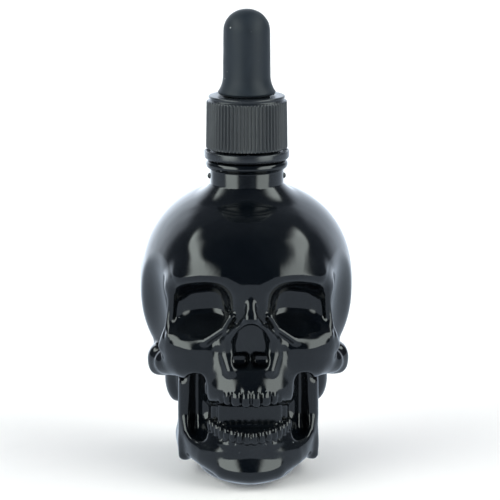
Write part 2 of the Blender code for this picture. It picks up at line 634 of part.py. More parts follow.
def ribbed_body():
    """Outside of the cap: a ribbed skirt, a shoulder and a plain top disc."""
    outer = CAP_DIAMETER / 2
    root = outer - RIB_DEPTH
    top = CAP_TOP_DIAMETER / 2
    skirt_top = CAP_TOP - SHOULDER_HEIGHT
    step = 2 * math.pi / RIB_COUNT
    points = []

    def plain_ring(radius, height):
        for place in range(RIB_COUNT):
            points.append((radius * math.cos(step * place), radius * math.sin(step * place), height))

    def ribbed_ring(height):
        for place in range(RIB_COUNT):
            middle = step * (place + 0.5)
            for radius, turned in ((outer, -RIB_TOP_SHARE / 2), (outer, RIB_TOP_SHARE / 2), (root, 1 / 2)):
                angle = middle + turned * step
                points.append((radius * math.cos(angle), radius * math.sin(angle), height))

    plain_ring(root, CAP_BOTTOM)
    ribbed_ring(CAP_BOTTOM + RIB_DEPTH)
    ribbed_ring(skirt_top - RIB_DEPTH)
    plain_ring(root, skirt_top)
    plain_ring(top, skirt_top + RIB_DEPTH)
    plain_ring(top, CAP_TOP - EDGE_ROUND)
    plain_ring(top - EDGE_ROUND, CAP_TOP)
    ribs = RIB_COUNT
    lower = ribs
    upper = 4 * ribs
    first_plain = 7 * ribs
    faces = [tuple(range(ribs)), tuple(range(first_plain + 3 * ribs, first_plain + 4 * ribs))]
    for place in range(ribs):
        after = (place + 1) % ribs
        tops = [3 * place, 3 * place + 1, 3 * place + 2]
        back = (3 * place - 1) % (3 * ribs)
        for plain, ribbed in ((0, lower), (first_plain, upper)):
            faces.append((plain + place, ribbed + back, ribbed + tops[0]))
            faces.append((plain + place, ribbed + tops[0], ribbed + tops[1]))
            faces.append((plain + place, ribbed + tops[1], plain + after))
            faces.append((plain + after, ribbed + tops[1], ribbed + tops[2]))
        for first, second in ((back, tops[0]), (tops[0], tops[1]), (tops[1], tops[2])):
            faces.append((lower + first, lower + second, upper + second, upper + first))
        for level in range(3):
            base = first_plain + level * ribs
            faces.append((base + place, base + after, base + ribs + after, base + ribs + place))
    return mesh_from("cap", points, faces)


def make_cap(parent, finish):
    cap = placed("cap", ribbed_body(), parent, finish, CAP_BOTTOM)
    inside = THREAD_DIAMETER / 2 + CAP_CLEARANCE
    hole = CAP_HOLE_DIAMETER / 2
    room = [(0.0, CAP_TOP + OVERRUN), (hole, CAP_TOP + OVERRUN), (hole, CAP_CEILING), (inside, CAP_CEILING),
            (inside, CAP_BOTTOM - OVERRUN), (0.0, CAP_BOTTOM - OVERRUN)]
    cutter = placed("cap_room", profile_mesh("cap_room", room, False), parent)
    boolean(cap, hide_cutter(turn(cutter, TURNED_STEPS)), "DIFFERENCE")
    ridge_start = THREAD_START + THREAD_PITCH / 2
    ridge = thread_ridge("cap_thread_shape", inside + GAP, inside - THREAD_DEPTH_IN_CAP, ridge_start)
    boolean(cap, hide_cutter(placed("cap_thread_shape", ridge, parent)), "UNION")
    return cap


def make_band(parent, finish):
    """Loose ring under the cap. A lip inside it hooks under the bead of the neck."""
    outer = BAND_DIAMETER / 2
    inner = outer - BAND_WALL
    lip = FINISH_DIAMETER / 2 + 2 * GAP
    lip_top = BAND_BOTTOM + BAND_LIP_THICKNESS
    profile = [(inner, BAND_TOP)]
    profile += arc((outer - EDGE_ROUND, BAND_TOP - EDGE_ROUND), EDGE_ROUND, 90, 0, 3)
    profile += arc((outer - 2 * EDGE_ROUND, BAND_BOTTOM + 2 * EDGE_ROUND), 2 * EDGE_ROUND, 0, -90, 4)
    profile += [(lip, BAND_BOTTOM), (lip, lip_top - GAP), (inner, lip_top)]
    band = placed("tamper_band", profile_mesh("tamper_band", profile, True), parent, finish, BAND_BOTTOM)
    turn(band, TURNED_STEPS)
    middle = (outer + inner) / 2
    thick = BAND_WALL / 2
    for place in range(BRIDGE_COUNT):
        angle = 2 * math.pi * place / BRIDGE_COUNT
        boolean(band, bridge(angle, middle, thick, parent), "UNION")
    return band


def bridge(angle, middle, thick, parent):
    """Stub that is left where the band tore from the cap."""
    mesh = bpy.data.meshes.new("bridge_shape")
    shape = bmesh.new()
    bmesh.ops.create_cube(shape, size=1.0)
    for vertex in shape.verts:
        across = vertex.co.x * thick + middle
        along = vertex.co.y * BRIDGE_WIDTH
        height = BAND_TOP + vertex.co.z * 2 * BRIDGE_HEIGHT
        vertex.co = (across * math.cos(angle) - along * math.sin(angle),
                     across * math.sin(angle) + along * math.cos(angle), height)
    shape.to_mesh(mesh)
    shape.free()
    return hide_cutter(placed("bridge_shape", mesh, parent))


def bulb_profile():
    """Section of the rubber wall, from the top of the bulb down the outside and up the inside."""
    radius = BULB_DIAMETER / 2
    foot = BULB_FOOT_DIAMETER / 2
    groove = CAP_HOLE_DIAMETER / 2 - GAP
    flange = FLANGE_DIAMETER / 2
    throat = PIPETTE_DIAMETER / 2 + GAP
    room = radius - BULB_WALL
    top = CAP_TOP + BULB_HEIGHT
    crown_base = top - BULB_CROWN_HEIGHT
    foot_bottom = CAP_TOP + GAP
    foot_top = CAP_TOP + BULB_FOOT_HEIGHT
    lip = (BULB_FOOT_DIAMETER - BULB_DIAMETER) / 6
    outside = dome(radius, crown_base, BULB_CROWN_HEIGHT, 8)
    flare = foot_top - foot_bottom - lip
    for share in (0.0, 0.35, 0.7, 0.9, 1.0):
        outside.append((radius + (foot - radius) * share ** 3, foot_top - flare * share))
    outside += [(foot, foot_bottom), (groove, foot_bottom), (groove, FLANGE_TOP), (flange, FLANGE_TOP)]
    outside += [(flange, FLANGE_BOTTOM), (throat, FLANGE_BOTTOM)]
    throat_top = PIPETTE_TOP + GAP
    outside += [(throat, throat_top), (room, throat_top + room - throat)]
    inside = dome(room, crown_base, BULB_CROWN_HEIGHT - BULB_WALL, 6)
    return outside + inside[::-1]


def dome(radius, base, rise, count):
    """Rounded end of a turned shape, from its tip on the axis to its straight side."""
    angles = np.radians(np.linspace(90.0, 0.0, count))
    spread = 2 / 3
    points = [(radius * math.cos(angle) ** spread, base + rise * math.sin(angle) ** spread)
              for angle in angles]
    points[0] = (0.0, base + rise)
    return points


def make_bulb(parent, finish):
    bulb = placed("bulb", profile_mesh("bulb", bulb_profile(), False), parent, finish, CAP_TOP)
    return turn(bulb, SMALL_STEPS)


def pipette_profile():
    """Section of the glass tube, from its top down the outside to the tip and up the bore."""
    outer = PIPETTE_DIAMETER / 2
    stop = PIPETTE_STOP_DIAMETER / 2
    bore = outer - PIPETTE_WALL
    stop_top = FLANGE_BOTTOM - GAP
    stop_bottom = stop_top - PIPETTE_STOP_THICKNESS
    round_over = PIPETTE_STOP_THICKNESS / 2
    taper_top = TIP_HEIGHT + PIPETTE_TAPER
    profile = [(bore, PIPETTE_TOP), (outer, PIPETTE_TOP), (outer, stop_top)]
    profile += arc((stop - round_over, (stop_top + stop_bottom) / 2), round_over, 90, -90, 5)
    profile += [(outer, stop_bottom), (outer, taper_top), (TIP_DIAMETER / 2, TIP_HEIGHT)]
    profile += [(TIP_BORE_DIAMETER / 2, TIP_HEIGHT), (bore, taper_top)]
    return profile


def make_pipette(parent, finish):
    mesh = profile_mesh("pipette", pipette_profile(), True)
    return turn(placed("pipette", mesh, parent, finish, FLANGE_BOTTOM), SMALL_STEPS)


def shade(item):
    for face in item.data.polygons:
        face.use_smooth = True


def main():
    clear_scene()
    black_glass = material("black glass", (0.008, 0.009, 0.011), 0.12)
    satin_plastic = material("satin black plastic", (0.020, 0.021, 0.023), 0.42)
    black_rubber = material("black rubber", (0.016, 0.018, 0.020), 0.62)
    clear_glass = material("clear glass", (0.92, 0.95, 0.94), 0.04, transmission=1.0)
    bottle = make_bottle(black_glass)
    band_axis = body_empty("band_axis", BAND_BOTTOM, bottle)
    dropper_axis = body_empty("dropper_axis", FLANGE_BOTTOM, bottle)
    make_band(band_axis, satin_plastic)
    make_pipette(dropper_axis, clear_glass)
    make_bulb(dropper_axis, black_rubber)
    make_cap(dropper_axis, satin_plastic)
    shade(bottle)


main()
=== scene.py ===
import math

import bpy
import numpy as np
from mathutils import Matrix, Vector


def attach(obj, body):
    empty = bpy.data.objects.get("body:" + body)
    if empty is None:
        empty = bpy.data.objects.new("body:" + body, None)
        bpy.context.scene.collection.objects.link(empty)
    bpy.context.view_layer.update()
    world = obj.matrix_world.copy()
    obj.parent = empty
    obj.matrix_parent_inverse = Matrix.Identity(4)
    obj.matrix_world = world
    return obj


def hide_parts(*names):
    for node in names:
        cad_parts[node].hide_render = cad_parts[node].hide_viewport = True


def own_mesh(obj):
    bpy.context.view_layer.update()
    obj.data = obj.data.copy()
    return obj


# Looks for a dropper bottle in the shape of a skull. The tables are in millimetres, with the
# origin on the neck's axis where the bottle stands and the face towards -Y.

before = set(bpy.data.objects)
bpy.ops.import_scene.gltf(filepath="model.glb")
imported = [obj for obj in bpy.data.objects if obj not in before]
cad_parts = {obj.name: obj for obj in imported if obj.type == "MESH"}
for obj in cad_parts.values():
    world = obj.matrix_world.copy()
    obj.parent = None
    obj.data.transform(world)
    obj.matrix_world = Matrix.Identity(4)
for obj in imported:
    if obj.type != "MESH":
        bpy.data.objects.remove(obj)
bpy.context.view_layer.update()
mm = 0.001
tiny = 0.0001
print("frame loaded:", ", ".join(sorted(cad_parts)))


def meshObject(name, points, faces):
    mesh = bpy.data.meshes.new(name)
    mesh.from_pydata(points, [], faces)
    mesh.update()
    item = bpy.data.objects.new(name, mesh)
    bpy.context.scene.collection.objects.link(item)
    return item


def smoothed(item, sharpAbove):
    mesh = item.data
    mesh.polygons.foreach_set("use_smooth", [True] * len(mesh.polygons))
    mesh.set_sharp_from_angle(angle=math.radians(sharpAbove))
    return item


def applied(item):
    depsgraph = bpy.context.evaluated_depsgraph_get()
    mesh = bpy.data.meshes.new_from_object(item.evaluated_get(depsgraph))
    item.modifiers.clear()
    item.data = mesh
    return item


def booleanWith(item, other, operation, solver="MANIFOLD"):
    step = item.modifiers.new(operation.lower(), "BOOLEAN")
    step.operation = operation
    step.solver = solver
    step.object = other
    applied(item)
    bpy.data.objects.remove(other)
    return item


# The skull's glass: each row is one mass, rod, slab or hollow of the half at +X, and it is
# blended into the rows before it. A row with along is a rod, with round a slab, with axis a barrel,
# and otherwise a ball. spin turns a form about Z, tip about X and lean about Y.

skull = {
    "forms": {
        "backOfHead": {"at": (0, 6.6, 50.3), "half": (29.5, 28.2, 28.8), "power": 2.25},
        "forehead": {"blend": 7.0, "at": (0, -6, 54.9), "half": (23.8, 25.0, 20.9), "power": 2.6, "lean": 6},
        "temple": {"cut": True, "blend": 5.0, "at": (30.4, -15.5, 45), "half": (7.8, 12.5, 15.5)},
        "nape": {"blend": 9.0, "at": (0, 6.5, 12), "half": (16.2, 17.5, 20), "power": 3.2},
        "middleOfFace": {"blend": 4.0, "at": (0, -13, 40), "half": (17.5, 14.2, 9.5), "power": 2.4},
        "upperJaw": {"blend": 2.4, "at": (0, -17.5, 32), "half": (14.4, 13.6, 11), "power": 6.0, "axis": 2,
            "tip": -16},
        "jawAboveTeeth": {"blend": 1.6, "at": (0, -17.1, 34.2), "half": (16.6, 12.9, 8.2), "power": 3.4,
            "axis": 2, "tip": -12},
        "cheekbone": {"blend": 2.8, "at": (16.4, -21.7, 37.6), "half": (7.4, 4.9, 6.4), "power": 2.4,
            "spin": 30, "tip": 18},
        "cheekButtress": {"blend": 3.2, "thick": (3.0, 2.2, 1.6), "along": ((15, -22.5, 33.6),
            (12.4, -22.2, 30), (10.8, -21, 26.5))},
        "cheekArch": {"blend": 2.4, "thick": (3.4, 3.6, 3.4, 3.0, 2.6), "along": ((17.6, -20.6, 33.2),
            (22.2, -14.8, 32.6), (24.0, -8, 32.2), (23.3, -1, 32.2), (20.4, 5, 33))},
        "brow": {"blend": 4.6, "thick": (3.6, 4.0, 4.1, 3.7, 2.4), "along": ((2.4, -27.6, 57.4),
            (6.5, -27.3, 59.7), (11, -25.9, 59.6), (16, -23.2, 57.3), (19.4, -20.2, 54.2))},
        "archEnd": {"blend": 1.6, "at": (23.6, -10.5, 32.4), "half": (3.7, 3.6, 4.4), "power": 2.8,
            "spin": 10, "tip": 10},
        "outerSocketRim": {"blend": 1.8, "thick": (1.4, 1.3, 1.3, 2.0), "along": ((20, -22.6, 53.2),
            (20.8, -20.8, 49), (21.6, -20.4, 43.5), (22.6, -18.6, 38))},
        "noseSide": {"blend": 2.4, "thick": (1.6, 1.6, 1.6, 1.2), "along": ((4.2, -27.2, 55.5),
            (5.3, -27.8, 50.5), (6.8, -27.8, 45.5), (8.0, -26.4, 41))},
        "jawBranch": {"blend": 1.6, "at": (17.5, -7, 17), "half": (1.7, 6.4, 13.5), "round": 1.6, "tip": -7},
        "jawBranchEdge": {"blend": 1.6, "thick": (1.3, 1.3, 1.5, 1.8), "along": ((17.6, -12.6, 26),
            (17.3, -13.2, 17), (16.6, -14.6, 12.4), (13.6, -18.8, 10.4))},
        "behindTeeth": {"blend": 1.2, "at": (12.2, -5, 19), "half": (5.4, 9.5, 13), "round": 2.0},
        "foot": {"blend": 1.0, "at": (0, -1.6, 1), "half": (14.2, 25.2, 8.6)},
        "lowerJaw": {"blend": 2.0, "thick": (4.4, 4.4, 4.2, 3.8, 3.6), "along": ((0, -25.8, 5.6),
            (5.8, -24.8, 5.9), (10.2, -20.6, 7.9), (14.6, -12, 9.0), (16, -2, 9))},
        "jawBody": {"blend": 1.8, "at": (0, -9, 9.6), "half": (18.0, 20.8, 3.9), "power": 5.0, "axis": 2,
            "tip": 4},
        "lowerFace": {"blend": 2.0, "at": (0, -15.2, 12.4), "half": (13.4, 15.2, 4.2), "power": 5.0,
            "axis": 2, "tip": 9},
        "chin": {"blend": 1.4, "at": (-1.8, -25, 5), "half": (11, 7, 4.8)},
        "mouthFloor": {"blend": 1.0, "at": (0, -16, 9.9), "half": (9, 10, 6.3), "round": 1.0},
        "palateFront": {"blend": 0.8, "at": (0, -14.5, 20), "half": (8.6, 10, 9), "round": 1.0},
        "palateBack": {"blend": 1.0, "at": (0, -8, 18), "half": (10.6, 12, 14), "round": 2.0},
        "boneBehindEar": {"blend": 2.5, "at": (19.3, 5, 23.5), "half": (3.4, 4.6, 7)},
        "eyeSocket": {"cut": True, "blend": 3.8, "at": (13.5, -32.4, 49.0), "half": (8.2, 12.6, 7.2),
            "power": 3.0, "tip": 5, "spin": 5, "lean": 9},
        "socketFloor": {"blend": 1.0, "at": (13.2, -19.1, 41.2), "half": (8.4, 4.9, 5.0), "round": 1.0,
            "tip": 40, "spin": 12},
        "cheekHollow": {"cut": True, "blend": 2.6, "at": (12.2, -31.2, 33.4), "half": (2.2, 2.4, 3.2)},
        "noseOpening": {"cut": True, "blend": 0.8, "at": (0, -33.4, 40.6), "half": (5.5, 5.4, 7.2),
            "power": 5.0, "axis": 1, "tip": 17},
        "noseHollow": {"cut": True, "blend": 0.5, "at": (2.75, -31, 35.8), "half": (2.5, 6, 1.9), "round": 1.4},
        "gapBesideTeeth": {"cut": True, "blend": 1.2, "at": (14.2, -22, 21.8), "half": (2.8, 9.4, 9.8),
            "power": 4.0, "axis": 2},
        "lowerSocketRim": {"blend": 1.6, "thick": (0.8, 0.7, 0.6, 0.7, 1.1), "along": ((5.2, -29.6, 48.2),
            (7.2, -28.9, 44.8), (12, -27.4, 41.2), (17.8, -24.6, 40.3), (21.6, -20.4, 40.2))},
        "noseBone": {"blend": 1.2, "thick": (1.3, 1.3, 1.5), "along": ((0, -29.2, 58), (0, -30.8, 52.5),
            (0, -33, 48.8))},
        "noseEdge": {"blend": 2.2, "thick": (0.8, 0.8, 0.8, 0.8, 0.8), "along": ((0.6, -33.2, 48.2),
            (3.6, -31.4, 45.4), (5.9, -28.5, 41.4), (6.4, -28.2, 37.6), (5.3, -30.2, 33.6))},
        "grooveUnderNose": {"cut": True, "blend": 0.6, "thick": (0.5, 0.35), "along": ((0, -33.0, 33.6),
            (0, -33.0, 28.8))},
    },
    # each row of teeth stands on an elliptic arch, with widths from the middle to the end
    "teeth": {
        "upper": {"archAt": -15.5, "archHalf": (11.2, 17.2), "height": 26.0, "drop": 0.05, "tall": 4.2,
            "thick": 1.5, "widths": (2.3, 2.9, 2.3, 2.0, 1.9, 2.0, 2.2, 2.4), "rootAt": 27.6, "rootTall": 1.5},
        "lower": {"archAt": -13.5, "archHalf": (11.2, 17.4), "height": 14.9, "drop": 0.18, "tall": 3.6,
            "thick": 1.4, "widths": (1.7, 1.9, 2.2, 2.0, 1.9, 2.0, 2.2, 2.4), "rootAt": 13.2, "rootTall": 1.3},
    },
    "toothPower": 2.8,
    "toothBlend": 0.3,
    "rootWidth": 0.35,
    "rootInset": 0.95,
    "rootBlend": 1.5,
    "fold": 0.35,  # how softly the two halves meet
    "footRound": 3.2,
    "pushUp": {"at": (0, -3, -0.4), "half": (9.6, 19, 1.6), "blend": 0.35},
    "wall": 3.2,
    "floor": 4.5,
    "hollowOf": ("backOfHead", "forehead", "nape", "palateBack"),
    "hollowBlend": 6.0,
    "stem": {"radius": 10.12, "foot": 40, "top": 81.7, "blend": 1.3, "flareTop": 79.8, "flare": 5.6},
    "room": ((-30.8, -37.2, -1.2), (30.8, 36.4, 83)),  # corners of the box that is searched for the surface
    "skinStep": 0.4,
    "hollowStep": 1.6,
    "widestBlock": 16,
    "pinchFill": 0.02,
    "pointsAtOnce": 200000,
    "settling": {"rounds": 2, "reach": 0.04, "least": 0.05, "longest": 0.4},
    "sharpAbove": 55,
}


def ballDistance(points, half, power):
    half = np.array(half, float)
    ratio = np.maximum(np.abs(points) / half, tiny)
    size = (ratio ** power).sum(axis=1) ** (1.0 / power)
    slope = np.linalg.norm(ratio ** (power - 1.0) / half, axis=1) * size ** (1.0 - power)
    return (size - 1.0) / slope


def barrelDistance(points, half, power, axis):
    # round about one axis and squarer along it
    ratio = np.maximum(np.abs(points) / np.array(half, float), tiny)
    others = [side for side in range(3) if side != axis]
    disc = np.linalg.norm(ratio[:, others], axis=1)
    size = (ratio[:, axis] ** power + disc ** power) ** (1.0 / power)
    slope = np.empty_like(ratio)
    slope[:, axis] = ratio[:, axis] ** (power - 1.0) / half[axis]
    for side in others:
        slope[:, side] = disc ** (power - 2.0) * ratio[:, side] / half[side]
    return (size - 1.0) / (np.linalg.norm(slope, axis=1) * size ** (1.0 - power))


def rodDistance(points, along, thick):
    nearest = np.full(len(points), np.inf)
    corners = [np.array(corner, float) for corner in along]
    for start, end, startThick, endThick in zip(corners, corners[1:], thick, thick[1:]):
        run = end - start
        place = np.clip((points - start) @ run / (run @ run), 0.0, 1.0)
        gap = np.linalg.norm(points - start - place[:, None] * run, axis=1)
        nearest = np.minimum(nearest, gap - startThick - (endThick - startThick) * place)
    return nearest


def slabDistance(points, half, rounding):
    reach = np.abs(points) - np.array(half, float) + rounding
    return np.linalg.norm(np.maximum(reach, 0.0), axis=1) + np.minimum(reach.max(axis=1), 0.0) - rounding


def joined(first, second, width):
    overlap = np.maximum(width - np.abs(first - second), 0.0) / width
    return np.minimum(first, second) - overlap * overlap * width / 4


def turnedAbout(points, at, spin=0, tip=0, lean=0):
    local = points - np.array(at, float)
    for angle, first, second in ((spin, 0, 1), (tip, 1, 2), (lean, 2, 0)):
        if angle:
            cosine, sine = math.cos(math.radians(angle)), math.sin(math.radians(angle))
            one, two = local[:, first].copy(), local[:, second].copy()
            local[:, first] = cosine * one + sine * two
            local[:, second] = cosine * two - sine * one
    return local


def formDistance(points, form):
    if "along" in form:
        return rodDistance(points, form["along"], form["thick"])
    local = turnedAbout(points, form["at"], *[form.get(key, 0) for key in ("spin", "tip", "lean")])
    if "round" in form:
        return slabDistance(local, form["half"], form["round"])
    if "axis" in form:
        return barrelDistance(local, form["half"], form["power"], form["axis"])
    return ballDistance(local, form["half"], form.get("power", 2.0))


def formReach(form):
    # a ball round the whole form, so that points far from it can be passed over
    if "along" in form:
        corners = np.array(form["along"], float)
        centre = corners.mean(axis=0)
        return centre, np.linalg.norm(corners - centre, axis=1).max() + max(form["thick"])
    return np.array(form["at"], float), float(np.linalg.norm(form["half"]))


def withForm(field, points, form):
    sign = -1.0 if form.get("cut") else 1.0
    centre, radius = formReach(form)
    away = np.linalg.norm(points - centre, axis=1) - radius
    near = away * 0.5 < sign * field + form["blend"]
    if near.any():
        other = formDistance(points[near], form)
        field[near] = sign * joined(sign * field[near], other, form["blend"])
    return field


def archPoint(teeth, travel):
    across, deep = teeth["archHalf"]
    angles = np.linspace(0, math.pi / 2, 200)
    xs, ys = across * np.sin(angles), teeth["archAt"] - deep * np.cos(angles)
    travelled = np.concatenate([[0], np.cumsum(np.hypot(np.diff(xs), np.diff(ys)))])
    angle = float(np.interp(travel, travelled, angles))
    outward = math.degrees(math.atan2(math.sin(angle) / across, math.cos(angle) / deep))
    return across * math.sin(angle), teeth["archAt"] - deep * math.cos(angle), outward


def toothForms():
    forms = []
    for teeth in skull["teeth"].values():
        travel = 0.05
        for place, width in enumerate(teeth["widths"]):
            x, y, outward = archPoint(teeth, travel + width / 2)
            travel += width
            forms.append({"at": (x, y, teeth["height"] + teeth["drop"] * place),
                          "half": (width / 2, teeth["thick"], teeth["tall"] / 2), "spin": outward,
                          "power": skull["toothPower"], "blend": skull["toothBlend"]})
            forms.append({"at": (x * skull["rootInset"], y * skull["rootInset"], teeth["rootAt"]),
                          "half": (width * skull["rootWidth"], teeth["thick"], teeth["rootTall"]),
                          "spin": outward, "blend": skull["rootBlend"]})
    return forms


allForms = [*skull["forms"].values(), *toothForms()]


def folded(points):
    local = np.array(points, float)
    local[:, 0] = np.sqrt(local[:, 0] ** 2 + skull["fold"] ** 2) - skull["fold"] / 2
    return local


def skinField(points):
    local = folded(points)
    field = formDistance(local, allForms[0])
    for form in allForms[1:]:
        field = withForm(field, local, form)
    field = -joined(-field, local[:, 2], skull["footRound"])
    pushUp = skull["pushUp"]
    dish = ballDistance(local - np.array(pushUp["at"]), pushUp["half"], 2.0)
    field = -joined(-field, dish, pushUp["blend"])
    stem = skull["stem"]
    radius = stem["radius"] + np.clip(stem["flareTop"] - points[:, 2], 0, stem["flare"])
    post = np.maximum(np.hypot(points[:, 0], points[:, 1]) - radius,
                      np.maximum(points[:, 2] - stem["top"], stem["foot"] - points[:, 2]))
    return joined(field, post, stem["blend"])


def hollowField(points):
    local = folded(points)
    field = None
    for name in skull["hollowOf"]:
        inner = formDistance(local, skull["forms"][name]) + skull["wall"]
        field = inner if field is None else joined(field, inner, skull["hollowBlend"])
    for form in skull["forms"].values():
        if form.get("cut") and "along" not in form:
            field = -joined(-field, formDistance(local, form) - skull["wall"], skull["hollowBlend"] / 2)
    return -joined(-field, points[:, 2] - skull["floor"], skull["wall"])


def inParts(points):
    return np.array_split(points, 1 + len(points) // skull["pointsAtOnce"])


def sparseGrid(field, low, high, step):
    # blocks far from the surface take one value, the others are halved down to single points
    size = skull["widestBlock"]
    counts = (np.ceil((np.array(high) - low) / step / size).astype(int)) * size
    values = np.zeros(counts, np.float32)
    corners = np.array(list(np.ndindex(2, 2, 2)))
    blocks = np.stack(np.meshgrid(*[np.arange(0, count, size) for count in counts], indexing="ij"), -1)
    blocks = blocks.reshape(-1, 3)
    while size > 1:
        found = field(np.array(low) + (blocks + (size - 1) / 2) * step)
        near = np.abs(found) < size * step * 1.2
        x, y, z = (blocks[~near] // size).T
        shape = [part for count in counts for part in (count // size, size)]
        values.reshape(shape)[x, :, y, :, z, :] = found[~near][:, None, None, None]
        size //= 2
        blocks = (blocks[near][:, None] + corners * size).reshape(-1, 3)
    points = np.array(low) + blocks * step
    values[tuple(blocks.T)] = np.concatenate([field(part) for part in inParts(points)])
    return values


def untangled(value):
    # points that touch only across a cell's face would pinch the surface, so a point beside them is filled
    for _ in range(8):
        filled = 0
        for one, two in ((0, 1), (0, 2), (1, 2)):
            parts = []
            for shift in ((0, 0), (1, 0), (0, 1), (1, 1)):
                place = [slice(None)] * 3
                place[one], place[two] = [slice(part, part - 1 or None) for part in shift]
                parts.append(value[tuple(place)])
            near, right, up, far = [part < 0 for part in parts]
            for pinch, beside in ((near & far & ~right & ~up, parts[1]), (right & up & ~near & ~far, parts[0])):
                beside[pinch] = -skull["pinchFill"]
                filled += pinch.sum()
        if not filled:
            break
    return value


def netSurface(field, low, high, step):
    # one point in each cell that the surface passes, and one quad across each edge that it cuts
    value = untangled(sparseGrid(field, low, high, step))
    inside = value < 0
    nx, ny, nz = value.shape
    corners = list(np.ndindex(2, 2, 2))

    def shifted(array, corner):
        return array[corner[0]:nx - 1 + corner[0], corner[1]:ny - 1 + corner[1], corner[2]:nz - 1 + corner[2]]

    count = sum(shifted(inside, corner).astype(np.int8) for corner in corners)
    crossed = (count > 0) & (count < 8)
    cells = np.argwhere(crossed)
    number = np.full(crossed.shape, -1, np.int64)
    number[crossed] = np.arange(len(cells))
    total, hits = np.zeros((len(cells), 3)), np.zeros(len(cells))
    for corner in corners:
        for axis in range(3):
            if corner[axis] == 0:
                other = tuple(1 if place == axis else part for place, part in enumerate(corner))
                first, second = shifted(value, corner)[crossed], shifted(value, other)[crossed]
                cut = (first < 0) != (second < 0)
                share = np.where(cut, first / np.where(cut, first - second, 1), 0)
                spot = np.tile(np.array(corner, float), (len(cells), 1))
                spot[:, axis] += share
                total += spot * cut[:, None]
                hits += cut
    points = (total / hits[:, None] + cells) * step + np.array(low)
    quads = []
    for axis, (one, two) in enumerate(((1, 2), (2, 0), (0, 1))):
        ahead = [slice(None)] * 3
        behind = [slice(None)] * 3
        ahead[axis], behind[axis] = slice(1, None), slice(0, -1)
        first, second = inside[tuple(behind)], inside[tuple(ahead)]
        for flip, mask in ((False, first & ~second), (True, ~first & second)):
            edges = np.argwhere(mask)
            sides = []
            for back, side in ((1, 1), (0, 1), (0, 0), (1, 0)):
                cell = edges.copy()
                cell[:, one] -= back
                cell[:, two] -= side
                sides.append(number[tuple(cell.T)])
            quad = np.stack(sides, 1)
            quads.append(quad[:, ::-1] if flip else quad)
    return points, np.concatenate(quads)


def settled(field, points):
    # draws the points onto the field's zero surface
    settling = skull["settling"]
    reach = settling["reach"]
    for _ in range(settling["rounds"]):
        parts = []
        for part in inParts(points):
            here = field(part)
            slope = np.stack([field(part + reach * axis) - here for axis in np.eye(3)], -1) / reach
            steep = np.maximum((slope * slope).sum(axis=1), settling["least"])
            move = (here / steep)[:, None] * slope
            length = np.linalg.norm(move, axis=1)
            move *= np.minimum(1, settling["longest"] / np.maximum(length, tiny))[:, None]
            parts.append(part - move)
        points = np.concatenate(parts)
    return points


def outerShell(points, quads):
    # small pockets under blended forms are left out
    label = np.arange(len(points))
    pairs = np.concatenate([quads[:, [0, 1]], quads[:, [1, 2]], quads[:, [2, 3]]])
    while True:
        low = np.minimum(label[pairs[:, 0]], label[pairs[:, 1]])
        before = label.copy()
        np.minimum.at(label, pairs[:, 0], low)
        np.minimum.at(label, pairs[:, 1], low)
        label = label[label]
        if (label == before).all():
            break
    names, counts = np.unique(label, return_counts=True)
    kept = label == names[counts.argmax()]
    renumber = np.cumsum(kept) - 1
    return points[kept], renumber[quads[kept[quads[:, 0]]]]


# Turned pieces are lofted from rows of (radius, height), and shapeAt may move single points.

def turned(name, rows, steps, shapeAt=None, closed=True):
    rows = np.array(rows, float)
    angle = np.arange(steps) * 2 * math.pi / steps
    radius = np.repeat(rows[:, :1], steps, axis=1)
    height = np.repeat(rows[:, 1:2], steps, axis=1)
    if shapeAt is not None:
        radius, height = shapeAt(radius, height, angle[None, :])
    grid = np.stack([radius * np.cos(angle), radius * np.sin(angle), height], -1) * mm
    points = grid.reshape(-1, 3).tolist()
    count = len(rows)
    faces = []
    for row in range(count if closed else count - 1):
        below = ((row + 1) % count) * steps
        base = row * steps
        for place in range(steps):
            after = (place + 1) % steps
            faces.append((base + place, below + place, below + after, base + after))
    if not closed:
        for row, order in ((0, 1), (count - 1, -1)):
            points.append((0, 0, rows[row][1] * mm))
            ring = [row * steps + place for place in range(steps)][::order]
            for place in range(steps):
                faces.append((len(points) - 1, ring[place], ring[(place + 1) % steps]))
    return meshObject(name, points, faces)


def rounding(centre, radius, first, last, count):
    angles = np.radians(np.linspace(first, last, count))
    return [(centre[0] + radius * math.cos(angle), centre[1] + radius * math.sin(angle)) for angle in angles]


def levels(radius, top, bottom, gap):
    count = max(2, round(abs(top - bottom) / gap) + 1)
    return [(radius, height) for height in np.linspace(top, bottom, count)]


def corners(radius, height, offsets):
    return [(radius + out, height + up) for out, up in offsets]


def eased(value, start, end):
    share = np.clip((value - start) / (end - start), 0, 1)
    return share * share * (3 - 2 * share)


def threadRise(height, angle, thread):
    # height of the helical ridge at a place, from 0 at the root to 1 on the crest
    rise = np.zeros(np.broadcast(height, angle).shape)
    root, crest, turns = thread["rootWidth"] / 2, thread["crestWidth"] / 2, thread["turns"]
    for lap in range(-1, math.ceil(turns) + 1):
        travel = angle / (2 * math.pi) + lap
        away = np.abs(height - thread["start"] - thread["pitch"] * travel)
        ridge = np.clip((root - away) / (root - crest), 0, 1)
        ends = np.clip(travel / thread["runOut"], 0, 1) * np.clip((turns - travel) / thread["runOut"], 0, 1)
        rise = np.maximum(rise, ridge * ends)
    return rise


print("form tools ready")
sharpTurned = 50

